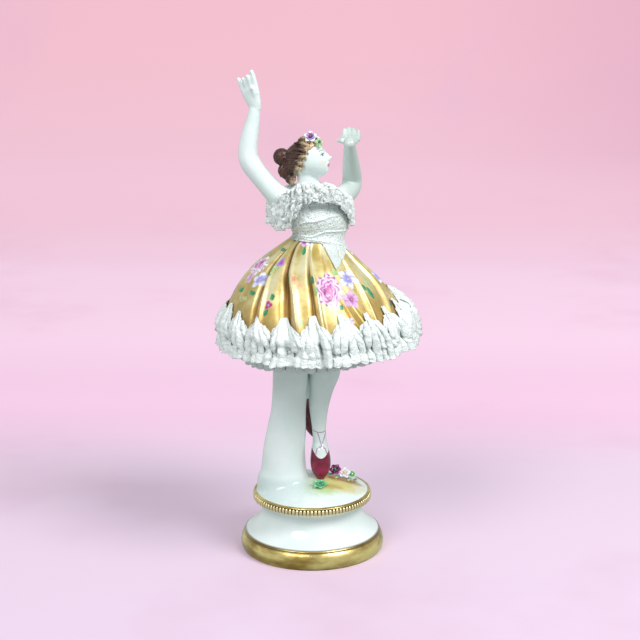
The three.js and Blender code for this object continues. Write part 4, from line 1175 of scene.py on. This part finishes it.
leafLift = 0.3
hairBlooms = [  # place, way it faces, radius, petals, tones of the outer and inner ring and the heart, turn
    [(-0.6, -1.4, 200.2), (-0.1, -0.8, 0.6), 3.1, 5, ("lavender", "white"), ("wine", "lavender"), "wine", 0],
    [(2, -1, 199), (0.3, -0.8, 0.5), 2.0, 5, ("deep", "white"), ("lavender", "white"), "leafDark", 0.4],
    [(3.2, -1.2, 197.8), (0.5, -0.8, 0.2), 2.1, 5, ("leaf", "leafPale"), ("leafDark", "leafPale"), "leafDark",
     0.2],
]
bladePlace = Vector((3.9, -0.9, 197.2)) + figureLift
spray = [petal(bladePlace, (0.5, -0.6, 0.5), 0.4, 3, 1, leafLift, ("leaf", "leafPale"))]
for spot, *rest in hairBlooms:
    spray += blossom(Vector(spot) + figureLift, *rest)
applied("hair_spray", spray, "hair_flowers")

moundBlooms = [
    [(11.4, 5.2, 2.6), (-0.2, -0.7, 0.7), 3.1, 6, ("plum", "deep"), ("plum", "wine"), "leafDark", 0],
    [(15.8, 4.4, 2.2), (0.1, -0.7, 0.7), 3, 5, ("pale", "white"), ("lavender", "white"), "yellow", 0.5],
    [(19.3, 5.8, 2.2), (0.3, -0.6, 0.7), 2.3, 5, ("leaf", "leafPale"), ("leafDark", "leaf"), "leafPale", 0.2],
]
moundBlades = (  # x, y and turn
    (9.4, 3.4, 2.6), (13.4, 2.2, 3.2), (17.6, 2.6, 3.9), (20.4, 4.2, 4.6), (12, 8, 0.4), (17, 8, 6),
)
spray = [petal(onMound(x, y, 0.6), (0, -0.3, 1), turned, 3.2, 0.9, leafLift, ("leafDark", "leafPale"))
         for x, y, turned in moundBlades]
for spot, *rest in moundBlooms:
    spray += blossom(onMound(*spot), *rest)
applied("mound_spray", spray, "mound_flowers")

leafTones = ("leafDark", "leaf")
spray = [petal(onMound(3.9, -11.6, 0.9), (0.1, -0.4, 0.9), index * 0.9 + 0.3, chance.uniform(2.2, 4.2), 1.4,
               leafLift, ("leafDark", "emerald")) for index in range(7)]
spray += blossom(onMound(3.9, -11.6, 1.5), (0, -0.6, 0.8), 1.7, 5, leafTones, leafTones, "leafDark")
applied("mound_leaves", spray, "mound_leaf")
print("flowers done")

# Floor, lights and camera
finish = Finish("floor", Roughness=0.9, Specular_IOR_Level=0.0)
x, y, z = finish.split()
depth = y + z
tone = finish.layered(
    linear(242, 220, 244), (depth.step(-0.3, 0.05), 250, 228, 250), (depth.step(0.1, 0.22), 245, 210, 235),
    (depth.step(0.25, 0.42), 253, 224, 244), (depth.step(0.6, 0.86), 246, 207, 220),
    (depth.step(0.95, 1.3), 246, 195, 203), (x.step(0.05, 0.5) * depth.step(0.75, 1.2) * 0.8, 222, 172, 192),
    (finish.noise(5, 4, 0.6).step(0.5, 0.72) * 0.35, 232, 192, 214))
# painted light: the floor and backdrop glow by themselves in a pinker tone, little in front where the real
# shadow falls and more further back
black = (0.0, 0.0, 0.0)
dark = mix(0.25, 0.42, depth.step(0.08, 0.28))
unlit = mix(mix(0.9, 0.54, depth.step(0.08, 0.26)), 0.49, depth.step(0.3, 0.95))
glow = finish.mixed(unlit, finish.layered(tone, (0.5, 255, 196, 228)), black)
finish.give(Base_Color=finish.mixed(dark, tone, black), Emission_Color=glow, Emission_Strength=1.0)
mesh = bmesh.new()
floorProfile = ((0, 0), (1.9, 0), (2.2, 0.06), (2.35, 0.3), (2.4, 0.8), (2.4, 2.6))  # in metres
corners = [mesh.verts.new((-3, depthAt - 1.2, height)) for depthAt, height in floorProfile]
edges = [mesh.edges.new(pair) for pair in zip(corners, corners[1:])]
moved = bmesh.ops.extrude_edge_only(mesh, edges=edges)["geom"]
moved = [part for part in moved if isinstance(part, bmesh.types.BMVert)]
bmesh.ops.translate(mesh, verts=moved, vec=(6, 0, 0))
bmesh.ops.recalc_face_normals(mesh, faces=mesh.faces)
floor = meshObject("floor", mesh, finish)
floor.visible_glossy = False
floor.visible_diffuse = False

lightLook = {"world": 0.56, "key": 5.6, "side": 8.8, "size": 0.6}
world = bpy.data.worlds.new("studio")
bpy.context.scene.world = world
world.use_nodes = True
tree = world.node_tree
background = tree.nodes["Background"].inputs
ramp = tree.nodes.new("ShaderNodeValToRGB")
ramp.color_ramp.elements.new(0.5)
skyTones = ((0.58, 0.62, 0.6), (1.0, 1.04, 1.04), (0.74, 0.77, 0.77))  # below, at the horizon and overhead
for element, height, tone in zip(ramp.color_ramp.elements, (0.0, 0.5, 1.0), skyTones):
    element.position = height
    element.color = (*tone, 1)
heading = addNode(tree, "TexCoord", {}, {})
connect(tree, ramp.inputs[0], addNode(tree, "SeparateXYZ", {}, {0: heading}, 2) * 0.5 + 0.5)
connect(tree, background["Color"], Wire(tree, ramp.outputs[0]))
background["Strength"].default_value = lightLook["world"]


def areaLight(name, spot, target):
    data = bpy.data.lights.new(name, "AREA")
    data.shape = "DISK"
    data.size = lightLook["size"]
    data.energy = lightLook[name]
    made = linked(name, data)
    made.location = spot
    made.rotation_euler = (Vector(target) - Vector(spot)).to_track_quat("-Z", "Y").to_euler()


areaLight("key", (-0.45, -0.75, 0.95), (0, 0, 0.13))
areaLight("side", (0.66, -0.5, 0.95), (0, 0, 0.1))

camera = linked("camera", bpy.data.cameras.new("camera"))
camera.location = (0.00382, -0.7, 0.285)
camera.rotation_euler = (radians(90 - 13.8), 0, 0)
camera.data.lens = 85.56
camera.data.sensor_width = 36
camera.data.clip_start = 0.01
bpy.context.scene.camera = camera
bpy.context.scene.view_settings.view_transform = "Standard"
